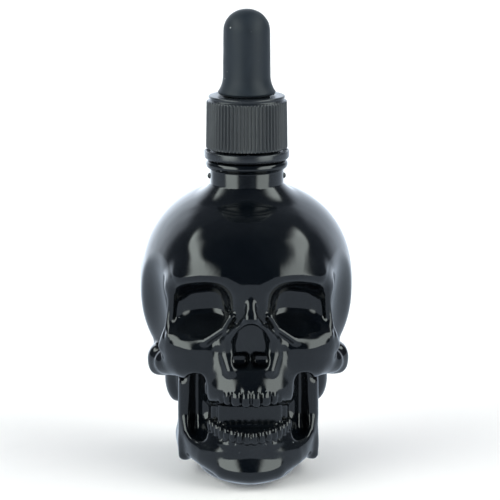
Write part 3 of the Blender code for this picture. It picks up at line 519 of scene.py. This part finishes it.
neck = {
    "diameter": 20.4,
    "foot": 78.6,
    "ring": {"diameter": 22.7, "bottom": 83.9, "thick": 2.4, "topRound": 1.0, "footRound": 1.3},
    "finish": 15.8,
    "bead": {"diameter": 18.4, "bottom": 88.0, "thick": 1.0, "round": 0.3},
    "rim": 101.1,
    "rimRound": 0.7,
    "bore": 10.4,
    "boreFoot": 73.0,
    "thread": {"diameter": 17.9, "start": 91.1, "pitch": 3.0, "turns": 1.5, "rootWidth": 1.3, "crestWidth": 0.6,
               "runOut": 0.1},
    "nub": {"radius": 0.9, "height": 81.75, "steps": 24},  # where the mould's seam ends, left and right
    "chamfer": 0.1,
    "rowGap": {"thread": 0.14, "wall": 0.25},
    "steps": 192,
}


def neckShape():
    wall, finish, core = neck["diameter"] / 2, neck["finish"] / 2, neck["bore"] / 4
    ring, ringFoot = neck["ring"]["diameter"] / 2, neck["ring"]["bottom"]
    bead, beadFoot = neck["bead"]["diameter"] / 2, neck["bead"]["bottom"]
    ringTop, beadTop = ringFoot + neck["ring"]["thick"], beadFoot + neck["bead"]["thick"]
    topRound, footRound, beadRound = neck["ring"]["topRound"], neck["ring"]["footRound"], neck["bead"]["round"]
    rimRound, chamfer = neck["rimRound"], neck["chamfer"]
    rows = [(core, neck["rim"])]
    rows += rounding((finish - rimRound, neck["rim"] - rimRound), rimRound, 90, 0, 7)
    rows += levels(finish, neck["rim"] - 10 * chamfer, beadTop + 4 * chamfer, neck["rowGap"]["thread"])
    rows += rounding((bead - beadRound, beadTop - 2 * chamfer), beadRound, 80, 0, 4)
    rows += [(bead, beadFoot + chamfer), (bead - chamfer, beadFoot), (finish, beadFoot)]
    rows += [(finish, ringTop + 2 * chamfer), (finish + 2 * chamfer, ringTop)]
    rows += rounding((ring - topRound, ringTop - topRound), topRound, 90, 0, 7)
    rows += rounding((ring - footRound, ringFoot + footRound), footRound, 0, -78, 8)
    rows += [(wall + 2.5 * chamfer, ringFoot), (wall, ringFoot - 2.5 * chamfer)]
    rows += levels(wall, ringFoot - 4.5 * chamfer, neck["foot"], neck["rowGap"]["wall"])
    rows += [(core, neck["foot"])]
    thread = neck["thread"]

    def withThread(radius, height, angle):
        onFinish = (np.abs(radius - finish) < tiny) & (height > beadTop)
        rise = threadRise(height, angle, thread) * onFinish
        return radius + rise * (thread["diameter"] / 2 - finish), height

    return turned("neckShape", rows, neck["steps"], withThread)


def seamNub(side):
    radius, height = neck["nub"]["radius"], neck["nub"]["height"]
    nub = turned("nubShape", rounding((0, 0), radius, 84, -84, 13), neck["nub"]["steps"], closed=False)
    shift = Vector((side * (neck["diameter"] / 2 - radius / 4) * mm, 0, height * mm))
    for vertex in nub.data.vertices:
        vertex.co += shift
    return nub


def formed(name, field, step, outerOnly=False):
    points, quads = netSurface(field, *skull["room"], step)
    if outerOnly:
        points, quads = outerShell(points, quads)
    print(name, "found with", len(points), "points")
    return meshObject(name, (settled(field, points) * mm).tolist(), quads.tolist())


def makeSkull():
    item = formed("skullGlass", skinField, skull["skinStep"], outerOnly=True)
    booleanWith(item, neckShape(), "UNION")
    for side in (-1, 1):
        booleanWith(item, seamNub(side), "UNION")
    booleanWith(item, formed("hollowShape", hollowField, skull["hollowStep"]), "DIFFERENCE")
    rows = [(neck["bore"] / 2, height) for height in (neck["rim"] + 1, neck["boreFoot"])]
    booleanWith(item, turned("boreShape", rows, neck["steps"] // 2, closed=False), "DIFFERENCE")
    return smoothed(item, skull["sharpAbove"])


cap = {
    "bottom": 89.6,
    "top": 104.2,
    "ceiling": 102.9,
    "diameter": 22.6,
    "topDiameter": 21.1,
    "draft": 0.22,
    "shoulder": 1.5,
    "edge": 0.4,
    "ribs": 66,
    "ribDepth": 0.32,
    "ribRoundness": 1.6,
    "hole": 13.2,
    "inside": 18.7,
    "thread": {"depth": 1.1, "start": 92.6, "pitch": 3.0, "turns": 1.5, "rootWidth": 1.5, "crestWidth": 0.7,
               "runOut": 0.1},
    "stepsPerRib": 8,
    "rowGap": {"thread": 0.15, "rib": 0.5},
    "chamfer": 0.15,
    "threadFoot": 0.5,
    "ribbedPart": (0.7, -0.25),
    # corners by how far out from their radius and how far up from their height they are
    "innerFoot": (0, 0.3),
    "ceilingEdge": (-0.2, 0),
    "shoulderFoot": ((0.02, 0.55), (0.12, 0.38)),
    "skirtTop": ((-0.55, 0.3), (-0.22, 0.12), (-0.05, -0.12)),
    "skirtFoot": ((0, 0.35), (-0.1, 0.12), (-0.35, 0)),
    "ribsFrom": (0.1, 0.5),
    "ribsTo": (0.1, -0.35),
}


def makeCap():
    outer, top, hole, inside = [cap[key] / 2 for key in ("diameter", "topDiameter", "hole", "inside")]
    bottom, ceiling, edge, chamfer = cap["bottom"], cap["ceiling"], cap["edge"], cap["chamfer"]
    skirtTop = cap["top"] - cap["shoulder"]
    rows = corners(inside, bottom, [cap["innerFoot"]])
    rows += levels(inside, bottom + cap["threadFoot"], ceiling - 2 * chamfer, cap["rowGap"]["thread"])
    rows += corners(inside, ceiling, [cap["ceilingEdge"]])
    rows += [(hole + chamfer, ceiling), (hole, ceiling + chamfer), (hole, cap["top"] - chamfer)]
    rows += [(hole + chamfer, cap["top"])]
    rows += rounding((top - edge, cap["top"] - edge), edge, 90, 0, 6)
    rows += corners(top, skirtTop, cap["shoulderFoot"]) + corners(outer, skirtTop, cap["skirtTop"])
    (low, high), gap = cap["ribbedPart"], cap["rowGap"]["rib"]
    rows += levels(outer, skirtTop + high, bottom + low, gap)
    rows += corners(outer, bottom, cap["skirtFoot"]) + [(inside + 2 * chamfer, bottom)]
    thread = cap["thread"]

    def ribbed(radius, height, angle):
        groove = (0.5 - 0.5 * np.cos(angle * cap["ribs"])) ** cap["ribRoundness"]
        fromFoot = eased(height, *[bottom + up for up in cap["ribsFrom"]])
        fromTop = eased(height, *[skirtTop + up for up in cap["ribsTo"]])
        skirt = (radius > outer - 2 * chamfer) * fromFoot * fromTop
        draft = cap["draft"] * (height - bottom) / (skirtTop - bottom) * (radius > top)
        inner = (np.abs(radius - inside) < tiny) * threadRise(height, angle, thread) * thread["depth"]
        return radius - skirt * groove * cap["ribDepth"] - draft - inner, height

    return smoothed(turned("screwCap", rows, cap["ribs"] * cap["stepsPerRib"], ribbed), sharpTurned)


band = {
    "bottom": 86.6,
    "top": 89.0,
    "diameter": 23.5,
    "wall": 2.0,
    "chamfer": 0.1,
    "seat": (0.5, 0.75),  # where the stubs stand, in from the inner and from the outer side
    "topRound": 0.35,
    "footRound": 0.9,
    "lip": {"radius": 8.5, "thick": 0.8, "edge": 0.4, "slope": 0.3},
    "stubs": {"count": 8, "wide": 0.9, "tall": 0.25},
    "steps": 288,
}


def makeBand():
    outer, bottom, top, chamfer = band["diameter"] / 2, band["bottom"], band["top"], band["chamfer"]
    inner, topRound, footRound = outer - band["wall"], band["topRound"], band["footRound"]
    lip, lipTop = band["lip"]["radius"], bottom + band["lip"]["thick"]
    rows = [(inner, top - chamfer), (inner + chamfer, top)]
    rows += [(inner + band["seat"][0], top), (outer - band["seat"][1], top)]
    rows += rounding((outer - topRound, top - topRound), topRound, 90, 0, 5)
    rows += [(outer, top - footRound)]
    rows += rounding((outer - footRound, bottom + footRound), footRound, 0, -84, 8)
    rows += [(lip + chamfer, bottom), (lip, bottom + chamfer), (lip, bottom + band["lip"]["edge"])]
    rows += [(lip + band["lip"]["slope"], lipTop - chamfer), (inner - chamfer, lipTop)]
    rows += [(inner, lipTop + chamfer)]
    stubs = band["stubs"]

    def torn(radius, height, angle):
        step = 2 * math.pi / stubs["count"]
        away = np.abs((angle + step / 2) % step - step / 2) * outer
        stub = eased(away, stubs["wide"] / 2 + chamfer, stubs["wide"] / 2 - chamfer)
        onTop = (height > top - tiny) & (radius > inner + 2 * chamfer) & (radius < outer - topRound - chamfer)
        return radius, height + stub * onTop * stubs["tall"]

    return smoothed(turned("tamperBand", rows, band["steps"], torn), sharpTurned)


bulb = {
    "foot": 104.5,
    "top": 128.0,
    "diameter": 13.0,
    "footDiameter": 15.9,
    "footHeight": 5.6,
    "footRound": 0.7,
    "flarePower": 2.4,
    "slimmer": 0.12,  # at the crown's base, from the diameter above the flare
    "crown": 6.2,
    "crownPower": 0.95,
    "chamfers": (0.1, 0.2),  # of the groove, and of the flange and the throat
    "wall": 1.5,
    "groove": 12.6,
    "flange": {"diameter": 15.2, "top": 102.6, "bottom": 101.4},
    "throat": 7.6,
    "throatTop": 107.0,
    "mouldLine": {"tall": 0.05, "wide": 0.25, "fromFoot": 0.5},
    "steps": 120,
}


def domed(radius, base, rise, count):
    power = bulb["crownPower"]
    angles = np.radians(np.linspace(88, 0, count))
    return [(radius * math.cos(angle) ** power, base + rise * math.sin(angle) ** power) for angle in angles]


def makeBulb():
    radius, foot, groove, throat, flange = [width / 2 for width in (
        bulb["diameter"], bulb["footDiameter"], bulb["groove"], bulb["throat"], bulb["flange"]["diameter"])]
    bottom, footRound, slimmer = bulb["foot"], bulb["footRound"], bulb["slimmer"]
    flangeTop, flangeFoot, throatTop = bulb["flange"]["top"], bulb["flange"]["bottom"], bulb["throatTop"]
    crownBase, flareTop = bulb["top"] - bulb["crown"], bottom + bulb["footHeight"]
    room, line = radius - bulb["wall"], bulb["mouldLine"]
    small, wide = bulb["chamfers"]
    rows = domed(radius - slimmer, crownBase, bulb["crown"], 22)
    for share in np.linspace(0.1, 1, 12):
        rows.append((radius - slimmer + slimmer * share, crownBase + (flareTop - crownBase) * share))
    for share in np.linspace(0.1, 1, 14):
        rows.append((radius + (foot - radius) * share ** bulb["flarePower"],
                     flareTop + (bottom + footRound - flareTop) * share))
    rows += rounding((foot - footRound, bottom + footRound), footRound, -8, -90, 7)
    rows += [(groove + small, bottom), (groove, bottom - small), (groove, flangeTop + small)]
    rows += [(groove + small, flangeTop), (flange - wide, flangeTop), (flange, flangeTop - wide)]
    rows += [(flange, flangeFoot + wide), (flange - wide, flangeFoot), (throat + wide, flangeFoot)]
    rows += [(throat, flangeFoot + wide), (throat, throatTop), (room, throatTop + room - throat)]
    rows += domed(room, crownBase, bulb["crown"] - bulb["wall"], 12)[::-1]

    def moulded(radius, height, angle):
        away = np.min([np.abs(angle - side * math.pi) for side in range(3)], axis=0) * radius
        onSkin = (radius > room + bulb["wall"] / 3) & (height > bottom + line["fromFoot"])
        return radius + eased(away, line["wide"], 0.0) * line["tall"] * onSkin, height

    return smoothed(turned("rubberBulb", rows, bulb["steps"], moulded, closed=False), sharpTurned)


pipette = {
    "top": 106.7,
    "tip": 13.5,
    "diameter": 7.0,
    "wall": 1.1,
    "topRound": 0.3,
    "boreChamfer": 0.25,
    "stop": {"diameter": 9.4, "top": 101.1, "thick": 1.2},
    "taper": 10.0,
    "aboveTaper": 2.0,
    "taperShare": 0.97,  # the outside ends its taper a little above the tip
    "tipDiameter": 3.0,
    "tipBore": 1.4,
    "tipChamfer": 0.15,
    "steps": 64,
}


def makePipette():
    outer, stop, tip = pipette["diameter"] / 2, pipette["stop"], pipette["tipDiameter"] / 2
    bore, tipBore, taper = outer - pipette["wall"], pipette["tipBore"] / 2, pipette["taper"]
    top, bottom, half = pipette["top"], pipette["tip"], stop["thick"] / 2
    chamfer, topRound = pipette["boreChamfer"], pipette["topRound"]
    rows = [(bore, top - chamfer), (bore + chamfer, top)]
    rows += rounding((outer - topRound, top - topRound), topRound, 90, 0, 4)
    rows += [(outer, stop["top"])]
    rows += rounding((stop["diameter"] / 2 - half, stop["top"] - half), half, 90, -90, 9)
    rows += [(outer, stop["top"] - stop["thick"]), (outer, bottom + taper + pipette["aboveTaper"])]
    for share in np.linspace(0, 1, 10):
        width = outer + (tip - outer) * eased(share, 0, 1)
        rows.append((width, bottom + taper * (1 - share * pipette["taperShare"])))
    rows += [(tip - pipette["tipChamfer"], bottom), (tipBore, bottom)]
    for share in np.linspace(0.05, 1, 8):
        rows.append((tipBore + (bore - tipBore) * eased(share, 0, 1), bottom + taper * share))
    return smoothed(turned("glassPipette", rows, pipette["steps"]), sharpTurned)


# Node helpers: add() places a node, and its inputs take plain values or other nodes' sockets.

def feed(tree, socket, value):
    if isinstance(value, bpy.types.NodeSocket):
        tree.links.new(value, socket)
    else:
        socket.default_value = value


def add(tree, kind, inputs, **settings):
    node = tree.nodes.new(kind)
    for key, value in settings.items():
        setattr(node, key, value)
    for key, value in inputs.items():
        feed(tree, node.inputs[key], value)
    return node


def maths(tree, operation, *values, clamp=False):
    return add(tree, "ShaderNodeMath", dict(enumerate(values)), operation=operation, use_clamp=clamp).outputs[0]


def product(tree, value, *others):
    for other in others:
        value = maths(tree, "MULTIPLY", value, other)
    return value


def softStep(tree, value, start, end):
    return add(tree, "ShaderNodeMapRange", {"Value": value, "From Min": start, "From Max": end},
               interpolation_type="SMOOTHSTEP").outputs["Result"]


def between(tree, share, first, second):
    # a Mix node's colours are its inputs 6 and 7 and its output 2
    return add(tree, "ShaderNodeMix", {"Factor": share, 6: first, 7: second}, data_type="RGBA").outputs[2]


def graded(tree, mask, low, high):
    return maths(tree, "MULTIPLY_ADD", mask, high - low, low)


def bumped(tree, height, depth, strength=1.0, **under):
    inputs = {"Strength": strength, "Distance": depth, "Height": height, **under}
    return add(tree, "ShaderNodeBump", inputs).outputs["Normal"]


def newGroup(name, result, *numbers):
    # each group takes a place on the piece and some numbers, and puts out one mask or height
    group = bpy.data.node_groups.new(name, "ShaderNodeTree")
    group.interface.new_socket(name="Place", in_out="INPUT", socket_type="NodeSocketVector")
    for socket in numbers:
        group.interface.new_socket(name=socket, in_out="INPUT", socket_type="NodeSocketFloat")
    group.interface.new_socket(name=result, in_out="OUTPUT", socket_type="NodeSocketFloat")
    return group, group.nodes.new("NodeGroupInput").outputs, group.nodes.new("NodeGroupOutput").inputs[0]


marks = {
    "pits": 0.4,
    "speckWobblesPerMetre": 2500.0,
    "speckBend": 0.0004,
    "smallestSpeck": 0.3,
    "speckCore": 0.6,
    "clouds": {"Detail": 5.0, "Roughness": 0.62, "Distortion": 0.6},
    "cloudsFrom": 0.85,
    "cloudsSoft": 0.3,
}


def fineGrain():
    # the small uneven skin of moulded parts
    group, given, result = newGroup("fineGrain", "Height", "Grains per metre", "Unevenness")
    where = {"Vector": given["Place"], "Scale": given["Grains per metre"]}
    noise = add(group, "ShaderNodeTexNoise", {**where, "Detail": 3.0, "Roughness": given["Unevenness"]})
    pits = add(group, "ShaderNodeTexVoronoi", where, feature="SMOOTH_F1")
    depth = maths(group, "MULTIPLY_ADD", pits.outputs["Distance"], marks["pits"], noise.outputs["Fac"])
    group.links.new(depth, result)
    return group


def dustSpecks():
    # a few small bright specks, each of its own size
    group, given, result = newGroup("dustSpecks", "Mask", "Cells per metre", "Share", "Size")
    wobbles = {"Vector": given["Place"], "Scale": marks["speckWobblesPerMetre"]}
    wobble = add(group, "ShaderNodeTexNoise", wobbles).outputs["Color"]
    bent = add(group, "ShaderNodeVectorMath", {0: wobble, 1: [marks["speckBend"]] * 3, 2: given["Place"]},
               operation="MULTIPLY_ADD").outputs["Vector"]
    cells = add(group, "ShaderNodeTexVoronoi", {"Vector": bent, "Scale": given["Cells per metre"]})
    chance = add(group, "ShaderNodeSeparateColor", {"Color": cells.outputs["Color"]})
    picked = maths(group, "LESS_THAN", chance.outputs["Red"], given["Share"])
    size = product(group, given["Size"], maths(group, "ADD", chance.outputs["Green"], marks["smallestSpeck"]))
    spot = add(group, "ShaderNodeMapRange", {"Value": cells.outputs["Distance"], "From Min": size,
                                             "From Max": product(group, size, marks["speckCore"])})
    group.links.new(product(group, spot.outputs["Result"], picked), result)
    return group


def handSmudge():
    # broad cloudy marks that handling leaves on a glossy skin
    group, given, result = newGroup("handSmudge", "Mask", "Marks per metre", "Cover")
    where = {"Vector": given["Place"], "Scale": given["Marks per metre"]}
    broad = add(group, "ShaderNodeTexNoise", {**where, **marks["clouds"]})
    start = maths(group, "SUBTRACT", marks["cloudsFrom"], given["Cover"])
    end = maths(group, "ADD", start, marks["cloudsSoft"])
    group.links.new(softStep(group, broad.outputs["Fac"], start, end), result)
    return group


grainGroup, dustGroup, smudgeGroup = fineGrain(), dustSpecks(), handSmudge()


def placed(tree, group, place, values):
    return add(tree, "ShaderNodeGroup", {"Place": place, **values}, node_tree=group).outputs[0]


def newMaterial(name, viewColor):
    material = bpy.data.materials.new(name)
    material.use_nodes = True
    material.diffuse_color = viewColor
    tree = material.node_tree
    return material, tree, add(tree, "ShaderNodeTexCoord", {}).outputs["Object"]


def handled(name, look):
    # marks of hands, dust and fine grain, as glass, plastic and rubber have them
    material, tree, place = newMaterial(name, look["color"])
    kinds = {"smudges": smudgeGroup, "dust": dustGroup, "grain": grainGroup}
    return material, tree, place, *[placed(tree, group, place, look[key]) for key, group in kinds.items()]


def finished(material, sockets):
    for key, value in sockets.items():
        feed(material.node_tree, material.node_tree.nodes["Principled BSDF"].inputs[key], value)
    return material


blackGlass = {
    "color": (0.0016, 0.0024, 0.0036, 1),
    "smudged": (0.004, 0.0052, 0.0066, 1),
    "dusty": (0.20, 0.21, 0.22, 1),
    "roughness": (0.10, 0.17),
    "dustDuller": 0.4,
    "smudges": {"Marks per metre": 45.0, "Cover": 0.42},
    "dust": {"Cells per metre": 260.0, "Share": 0.3, "Size": 0.05},
    "grain": {"Grains per metre": 900.0, "Unevenness": 0.4},
    "grainDepth": 0.000004,
    "ripplesPerMetre": 140.0,
    "rippleDepth": 0.00006,
    "uniform": {"IOR": 1.5},
}


def lacqueredGlass():
    look = blackGlass
    material, tree, place, smudge, dust, grain = handled("blackLacqueredGlass", look)
    skin = between(tree, smudge, look["color"], look["smudged"])
    rough = graded(tree, smudge, *look["roughness"])
    ripples = {"Vector": place, "Scale": look["ripplesPerMetre"], "Detail": 1.0}
    swell = bumped(tree, add(tree, "ShaderNodeTexNoise", ripples).outputs["Fac"], look["rippleDepth"])
    return finished(material, {
        "Base Color": between(tree, dust, skin, look["dusty"]),
        "Roughness": maths(tree, "MULTIPLY_ADD", dust, look["dustDuller"], rough, clamp=True),
        "Normal": bumped(tree, grain, look["grainDepth"], Normal=swell), **look["uniform"]})


satinPlastic = {
    "color": (0.0125, 0.0145, 0.0185, 1),
    # the lighter colour of sharp crests: partly a painted highlight on the rib edges, partly rubbed wear
    "rubAndHighlightColor": (0.027, 0.030, 0.036, 1),
    "dusty": (0.35, 0.36, 0.37, 1),
    "crests": (0.52, 0.60),  # how sharp an edge is before it gets the painted highlight and the rubbed wear, from 0.5 for flat
    "rubAndHighlightAmount": (0.3, 0.9),
    "roughness": (0.24, 0.32),
    "ribbed": (0.0899, 0.1026),  # heights between which the skirt is duller
    "ribbedFade": 0.0003,
    "ribbedDuller": 0.2,
    "smudges": {"Marks per metre": 150.0, "Cover": 0.45},
    "dust": {"Cells per metre": 300.0, "Share": 0.35, "Size": 0.07},
    "grain": {"Grains per metre": 3200.0, "Unevenness": 0.6},
    "grainDepth": 0.00001,
    "grainStrength": 0.6,
    "uniform": {"IOR": 1.49},
}


def mouldedPlastic():
    look = satinPlastic
    material, tree, place, smudge, dust, grain = handled("satinMouldedPlastic", look)
    # sharp rib crests are lighter: a painted highlight on the rib edges on every crest, and rubbed wear that
    # grows with the smudges
    edge = add(tree, "ShaderNodeNewGeometry", {}).outputs["Pointiness"]
    crestHighlightAndRub = product(tree, softStep(tree, edge, *look["crests"]), graded(tree, smudge, *look["rubAndHighlightAmount"]))
    color = between(tree, crestHighlightAndRub, look["color"], look["rubAndHighlightColor"])
    height = add(tree, "ShaderNodeSeparateXYZ", {"Vector": place}).outputs["Z"]
    (low, high), fade = look["ribbed"], look["ribbedFade"]
    ribbed = product(tree, softStep(tree, height, low, low + fade), softStep(tree, height, high, high - fade))
    rough = graded(tree, smudge, *look["roughness"])
    return finished(material, {
        "Base Color": between(tree, dust, color, look["dusty"]),
        "Roughness": maths(tree, "MULTIPLY_ADD", ribbed, look["ribbedDuller"], rough),
        "Normal": bumped(tree, grain, look["grainDepth"], look["grainStrength"]), **look["uniform"]})


bulbRubber = {
    "color": (0.0065, 0.0105, 0.0165, 1),
    "chalky": (0.0105, 0.0155, 0.023, 1),
    "dusty": (0.42, 0.43, 0.44, 1),
    "roughness": (0.50, 0.66),
    "smudges": {"Marks per metre": 90.0, "Cover": 0.5},
    "dust": {"Cells per metre": 330.0, "Share": 0.6, "Size": 0.09},
    "grain": {"Grains per metre": 2400.0, "Unevenness": 0.65},
    "grainDepth": 0.000016,
    "grainStrength": 0.8,
    "uniform": {"Specular IOR Level": 0.28, "Sheen Weight": 0.05, "Sheen Roughness": 0.45},
}


def softRubber():
    look = bulbRubber
    material, tree, place, smudge, dust, grain = handled("softBulbRubber", look)
    color = between(tree, smudge, look["color"], look["chalky"])
    return finished(material, {
        "Base Color": between(tree, dust, color, look["dusty"]),
        "Roughness": graded(tree, smudge, *look["roughness"]),
        "Normal": bumped(tree, grain, look["grainDepth"], look["grainStrength"]), **look["uniform"]})


tubeGlass = {
    "inViewport": (0.8, 0.85, 0.84, 0.4),
    "roughness": (0.02, 0.07),
    "smudges": {"Marks per metre": 120.0, "Cover": 0.4},
    "drawLines": 700.0,
    "drawStretch": (1, 1, 0.08),
    "drawDepth": 0.00001,
    "drawStrength": 0.5,
    "uniform": {"Base Color": (0.97, 0.99, 0.985, 1), "IOR": 1.5, "Transmission Weight": 1.0},
}


def drawnGlass():
    look = tubeGlass
    material, tree, place = newMaterial("clearDrawnGlass", look["inViewport"])
    long = add(tree, "ShaderNodeMapping", {"Vector": place, "Scale": look["drawStretch"]}).outputs["Vector"]
    lines = add(tree, "ShaderNodeTexNoise", {"Vector": long, "Scale": look["drawLines"], "Detail": 2.0})
    smudge = placed(tree, smudgeGroup, place, look["smudges"])
    return finished(material, {
        "Roughness": graded(tree, smudge, *look["roughness"]),
        "Normal": bumped(tree, lines.outputs["Fac"], look["drawDepth"], look["drawStrength"]),
        **look["uniform"]})


def dressed(item, material, body, node):
    item.data.materials.clear()
    item.data.materials.append(material)
    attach(item, body)
    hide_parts(node)
    print(item.name, "made with", len(item.data.vertices), "points")
    return item


plasticMaterial = mouldedPlastic()
skullGlass = dressed(makeSkull(), lacqueredGlass(), "bottle", "skull_bottle")
screwCap = dressed(makeCap(), plasticMaterial, "cap", "cap")
tamperBand = dressed(makeBand(), plasticMaterial, "band", "tamper_band")
rubberBulb = dressed(makeBulb(), softRubber(), "dropper", "bulb")
glassPipette = dressed(makePipette(), drawnGlass(), "dropper", "pipette")
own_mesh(rubberBulb)

# The camera sees a wide white floor that runs on to a white wall. Reflections see a small glowing
# table instead of the floor, a room that is dark in front, a card of light at each side and light behind.

studio = {
    "floorColor": (0.96, 0.895, 0.88, 1),
    "floorMarked": 0.97,
    "floorSmudges": {"Marks per metre": 6.0, "Cover": 0.5},
    "floorUniform": {"Roughness": 0.55, "Specular IOR Level": 0.2},
    "floorSize": 7.0,
    "floorHeight": -0.0002,
    "wallSeen": (0.93, 0.94, 0.96, 1),
    # lights round the bottle, by the parts of the way towards them
    "dimFront": (0.03, 0.04, 0.06, 1),
    "dimSide": (0.10, 0.115, 0.14, 1),
    "dimFromTo": (-0.6, 0.2),
    "leftToRight": (-0.3, 0.3),
    "rearLeft": (2.2, 2.45, 2.75, 1),
    "rearRight": (1.25, 1.4, 1.6, 1),
    "rearFromTo": (0.58, 0.93),
    "rearTop": (0.62, 0.5),
    "cardLeft": (4.3, 4.75, 4.6, 1),
    "cardRight": (3.7, 4.05, 3.95, 1),
    "cardInner": (0.40, 0.58),
    "cardBack": (-0.34, 1.5),  # rear edge, and how much it goes back with height
    "cardTop": (0.77, 0.09),  # upper edge, and how much higher it is on the right
    "cardSoft": 0.08,
    "cardFoot": (-0.3, -0.25),
    # the table is wide behind the bottle and ends in a small tongue in front of it
    "table": (0.62, 0.72, 0.84, 1),
    "tableFade": (0.1, 0.5),
    "tableHeight": -0.0001,
    "tableEdge": ((-3.5, 3), (-3.5, -0.153), (-0.337, -0.153), (-0.177, -0.331), (-0.177, -0.45),
                  (0.177, -0.45), (0.177, -0.331), (0.337, -0.153), (3.5, -0.153), (3.5, 3)),
    "tableParts": ((0, 1, 2, 7, 8, 9), (2, 3, 6, 7), (3, 4, 5, 6)),
    "lampPower": 3.8,
    "lampSize": 1.1,
    "lampAt": (0, 0.1, 1.3),
}


def floorMaterial():
    base = studio["floorColor"]
    material, tree, place = newMaterial("wideFloorPaint", base)
    marked = [part * studio["floorMarked"] for part in base[:3]] + [1]
    smudge = placed(tree, smudgeGroup, place, studio["floorSmudges"])
    return finished(material, {"Base Color": between(tree, smudge, base, marked), **studio["floorUniform"]})


def rearLight(tree, x):
    right = softStep(tree, x, *studio["leftToRight"])
    return between(tree, right, studio["rearLeft"], studio["rearRight"]), right


# The table glows a little by itself, so that the glass mirrors it as bright as at the photo's shoot.

def tableMaterial():
    material, tree, place = newMaterial("nearTableGlow", studio["table"])
    flat = add(tree, "ShaderNodeVectorMath", {0: place, 1: (1, 1, 0)}, operation="MULTIPLY").outputs["Vector"]
    away = add(tree, "ShaderNodeVectorMath", {0: flat}, operation="LENGTH").outputs["Value"]
    parts = add(tree, "ShaderNodeSeparateXYZ", {"Vector": flat}).outputs
    x, y = [maths(tree, "DIVIDE", parts[axis], away) for axis in ("X", "Y")]
    rear = product(tree, softStep(tree, y, *studio["rearFromTo"]), softStep(tree, away, *studio["tableFade"]))
    # the table's brightness is its own glow: a painted light, brighter at the back in the colours of the rear
    # light
    return finished(material, {"Base Color": (0, 0, 0, 1), "Roughness": 1.0, "Specular IOR Level": 0.0,
                               "Emission Color": between(tree, rear, studio["table"], rearLight(tree, x)[0]),
                               "Emission Strength": 1.0})


def floorSheet(name, edge, faces, height, material):
    sheet = meshObject(name, [(x, y, height) for x, y in edge], faces)
    sheet.data.materials.append(material)
    return sheet


half = studio["floorSize"] / 2
wideEdge = [(-half, -half), (half, -half), (half, half), (-half, half)]
wideFloor = floorSheet("wideFloor", wideEdge, [(0, 1, 2, 3)], studio["floorHeight"], floorMaterial())
wideFloor.visible_glossy = False
nearTable = floorSheet("nearTable", studio["tableEdge"], studio["tableParts"], studio["tableHeight"],
                       tableMaterial())
nearTable.visible_camera = False
nearTable.visible_shadow = False
nearTable.visible_diffuse = False


def studioWorld():
    world = bpy.data.worlds.new("smallStudio")
    bpy.context.scene.world = world
    world.use_nodes = True
    tree = world.node_tree
    way = add(tree, "ShaderNodeTexCoord", {}).outputs["Generated"]
    x, y, z = add(tree, "ShaderNodeSeparateXYZ", {"Vector": way}).outputs
    glow, right = rearLight(tree, x)
    light = between(tree, softStep(tree, y, *studio["dimFromTo"]), studio["dimFront"], studio["dimSide"])
    rear = product(tree, softStep(tree, y, *studio["rearFromTo"]), softStep(tree, z, *studio["rearTop"]))
    light = between(tree, rear, light, glow)

    def within(value, start, more, share):
        # 1 where value is less than start plus that much more, and 0 beyond it
        limit = maths(tree, "MULTIPLY_ADD", share, more, start)
        return softStep(tree, maths(tree, "SUBTRACT", limit, value), -studio["cardSoft"], studio["cardSoft"])

    card = product(tree, softStep(tree, maths(tree, "ABSOLUTE", x), *studio["cardInner"]),
                   within(y, *studio["cardBack"], product(tree, z, z)), within(z, *studio["cardTop"], right),
                   softStep(tree, z, *studio["cardFoot"]))
    light = between(tree, card, light, between(tree, right, studio["cardLeft"], studio["cardRight"]))
    seen = add(tree, "ShaderNodeLightPath", {}).outputs["Is Camera Ray"]
    feed(tree, tree.nodes["Background"].inputs["Color"], between(tree, seen, light, studio["wallSeen"]))


def overheadLamp():
    lamp = bpy.data.lights.new("overheadLamp", "AREA")
    lamp.shape = "DISK"
    lamp.size = studio["lampSize"]
    lamp.energy = studio["lampPower"]
    holder = bpy.data.objects.new("overheadLamp", lamp)
    bpy.context.scene.collection.objects.link(holder)
    holder.location = studio["lampAt"]
    holder.visible_glossy = False


studioWorld()
overheadLamp()
bpy.context.scene.view_settings.view_transform = "Standard"

view = {
    "distance": 0.8,
    "tilt": 8.6,
    "yaw": 2.0,
    "capHeight": 0.0987,
    "lookAt": (0.0009, 0, 0.0607),
    "millimetresPerPixel": 0.2756,
    "pixels": 500,
    "sensor": 36,
}


def placeCamera():
    lens = bpy.data.cameras.new("photoCamera")
    camera = bpy.data.objects.new("photoCamera", lens)
    bpy.context.scene.collection.objects.link(camera)
    yaw, distance = math.radians(view["yaw"]), view["distance"]
    height = view["capHeight"] + distance * math.tan(math.radians(view["tilt"]))
    camera.location = (-distance * math.sin(yaw), -distance * math.cos(yaw), height)
    ahead = (Vector(view["lookAt"]) - camera.location).normalized()
    camera.rotation_euler = ahead.to_track_quat("-Z", "Y").to_euler()
    deep = (Vector((0, 0, view["capHeight"])) - camera.location).dot(ahead)
    lens.sensor_width = view["sensor"]
    lens.lens = deep / mm / view["millimetresPerPixel"] / view["pixels"] * view["sensor"]
    bpy.context.scene.camera = camera


placeCamera()
print("studio and camera placed")
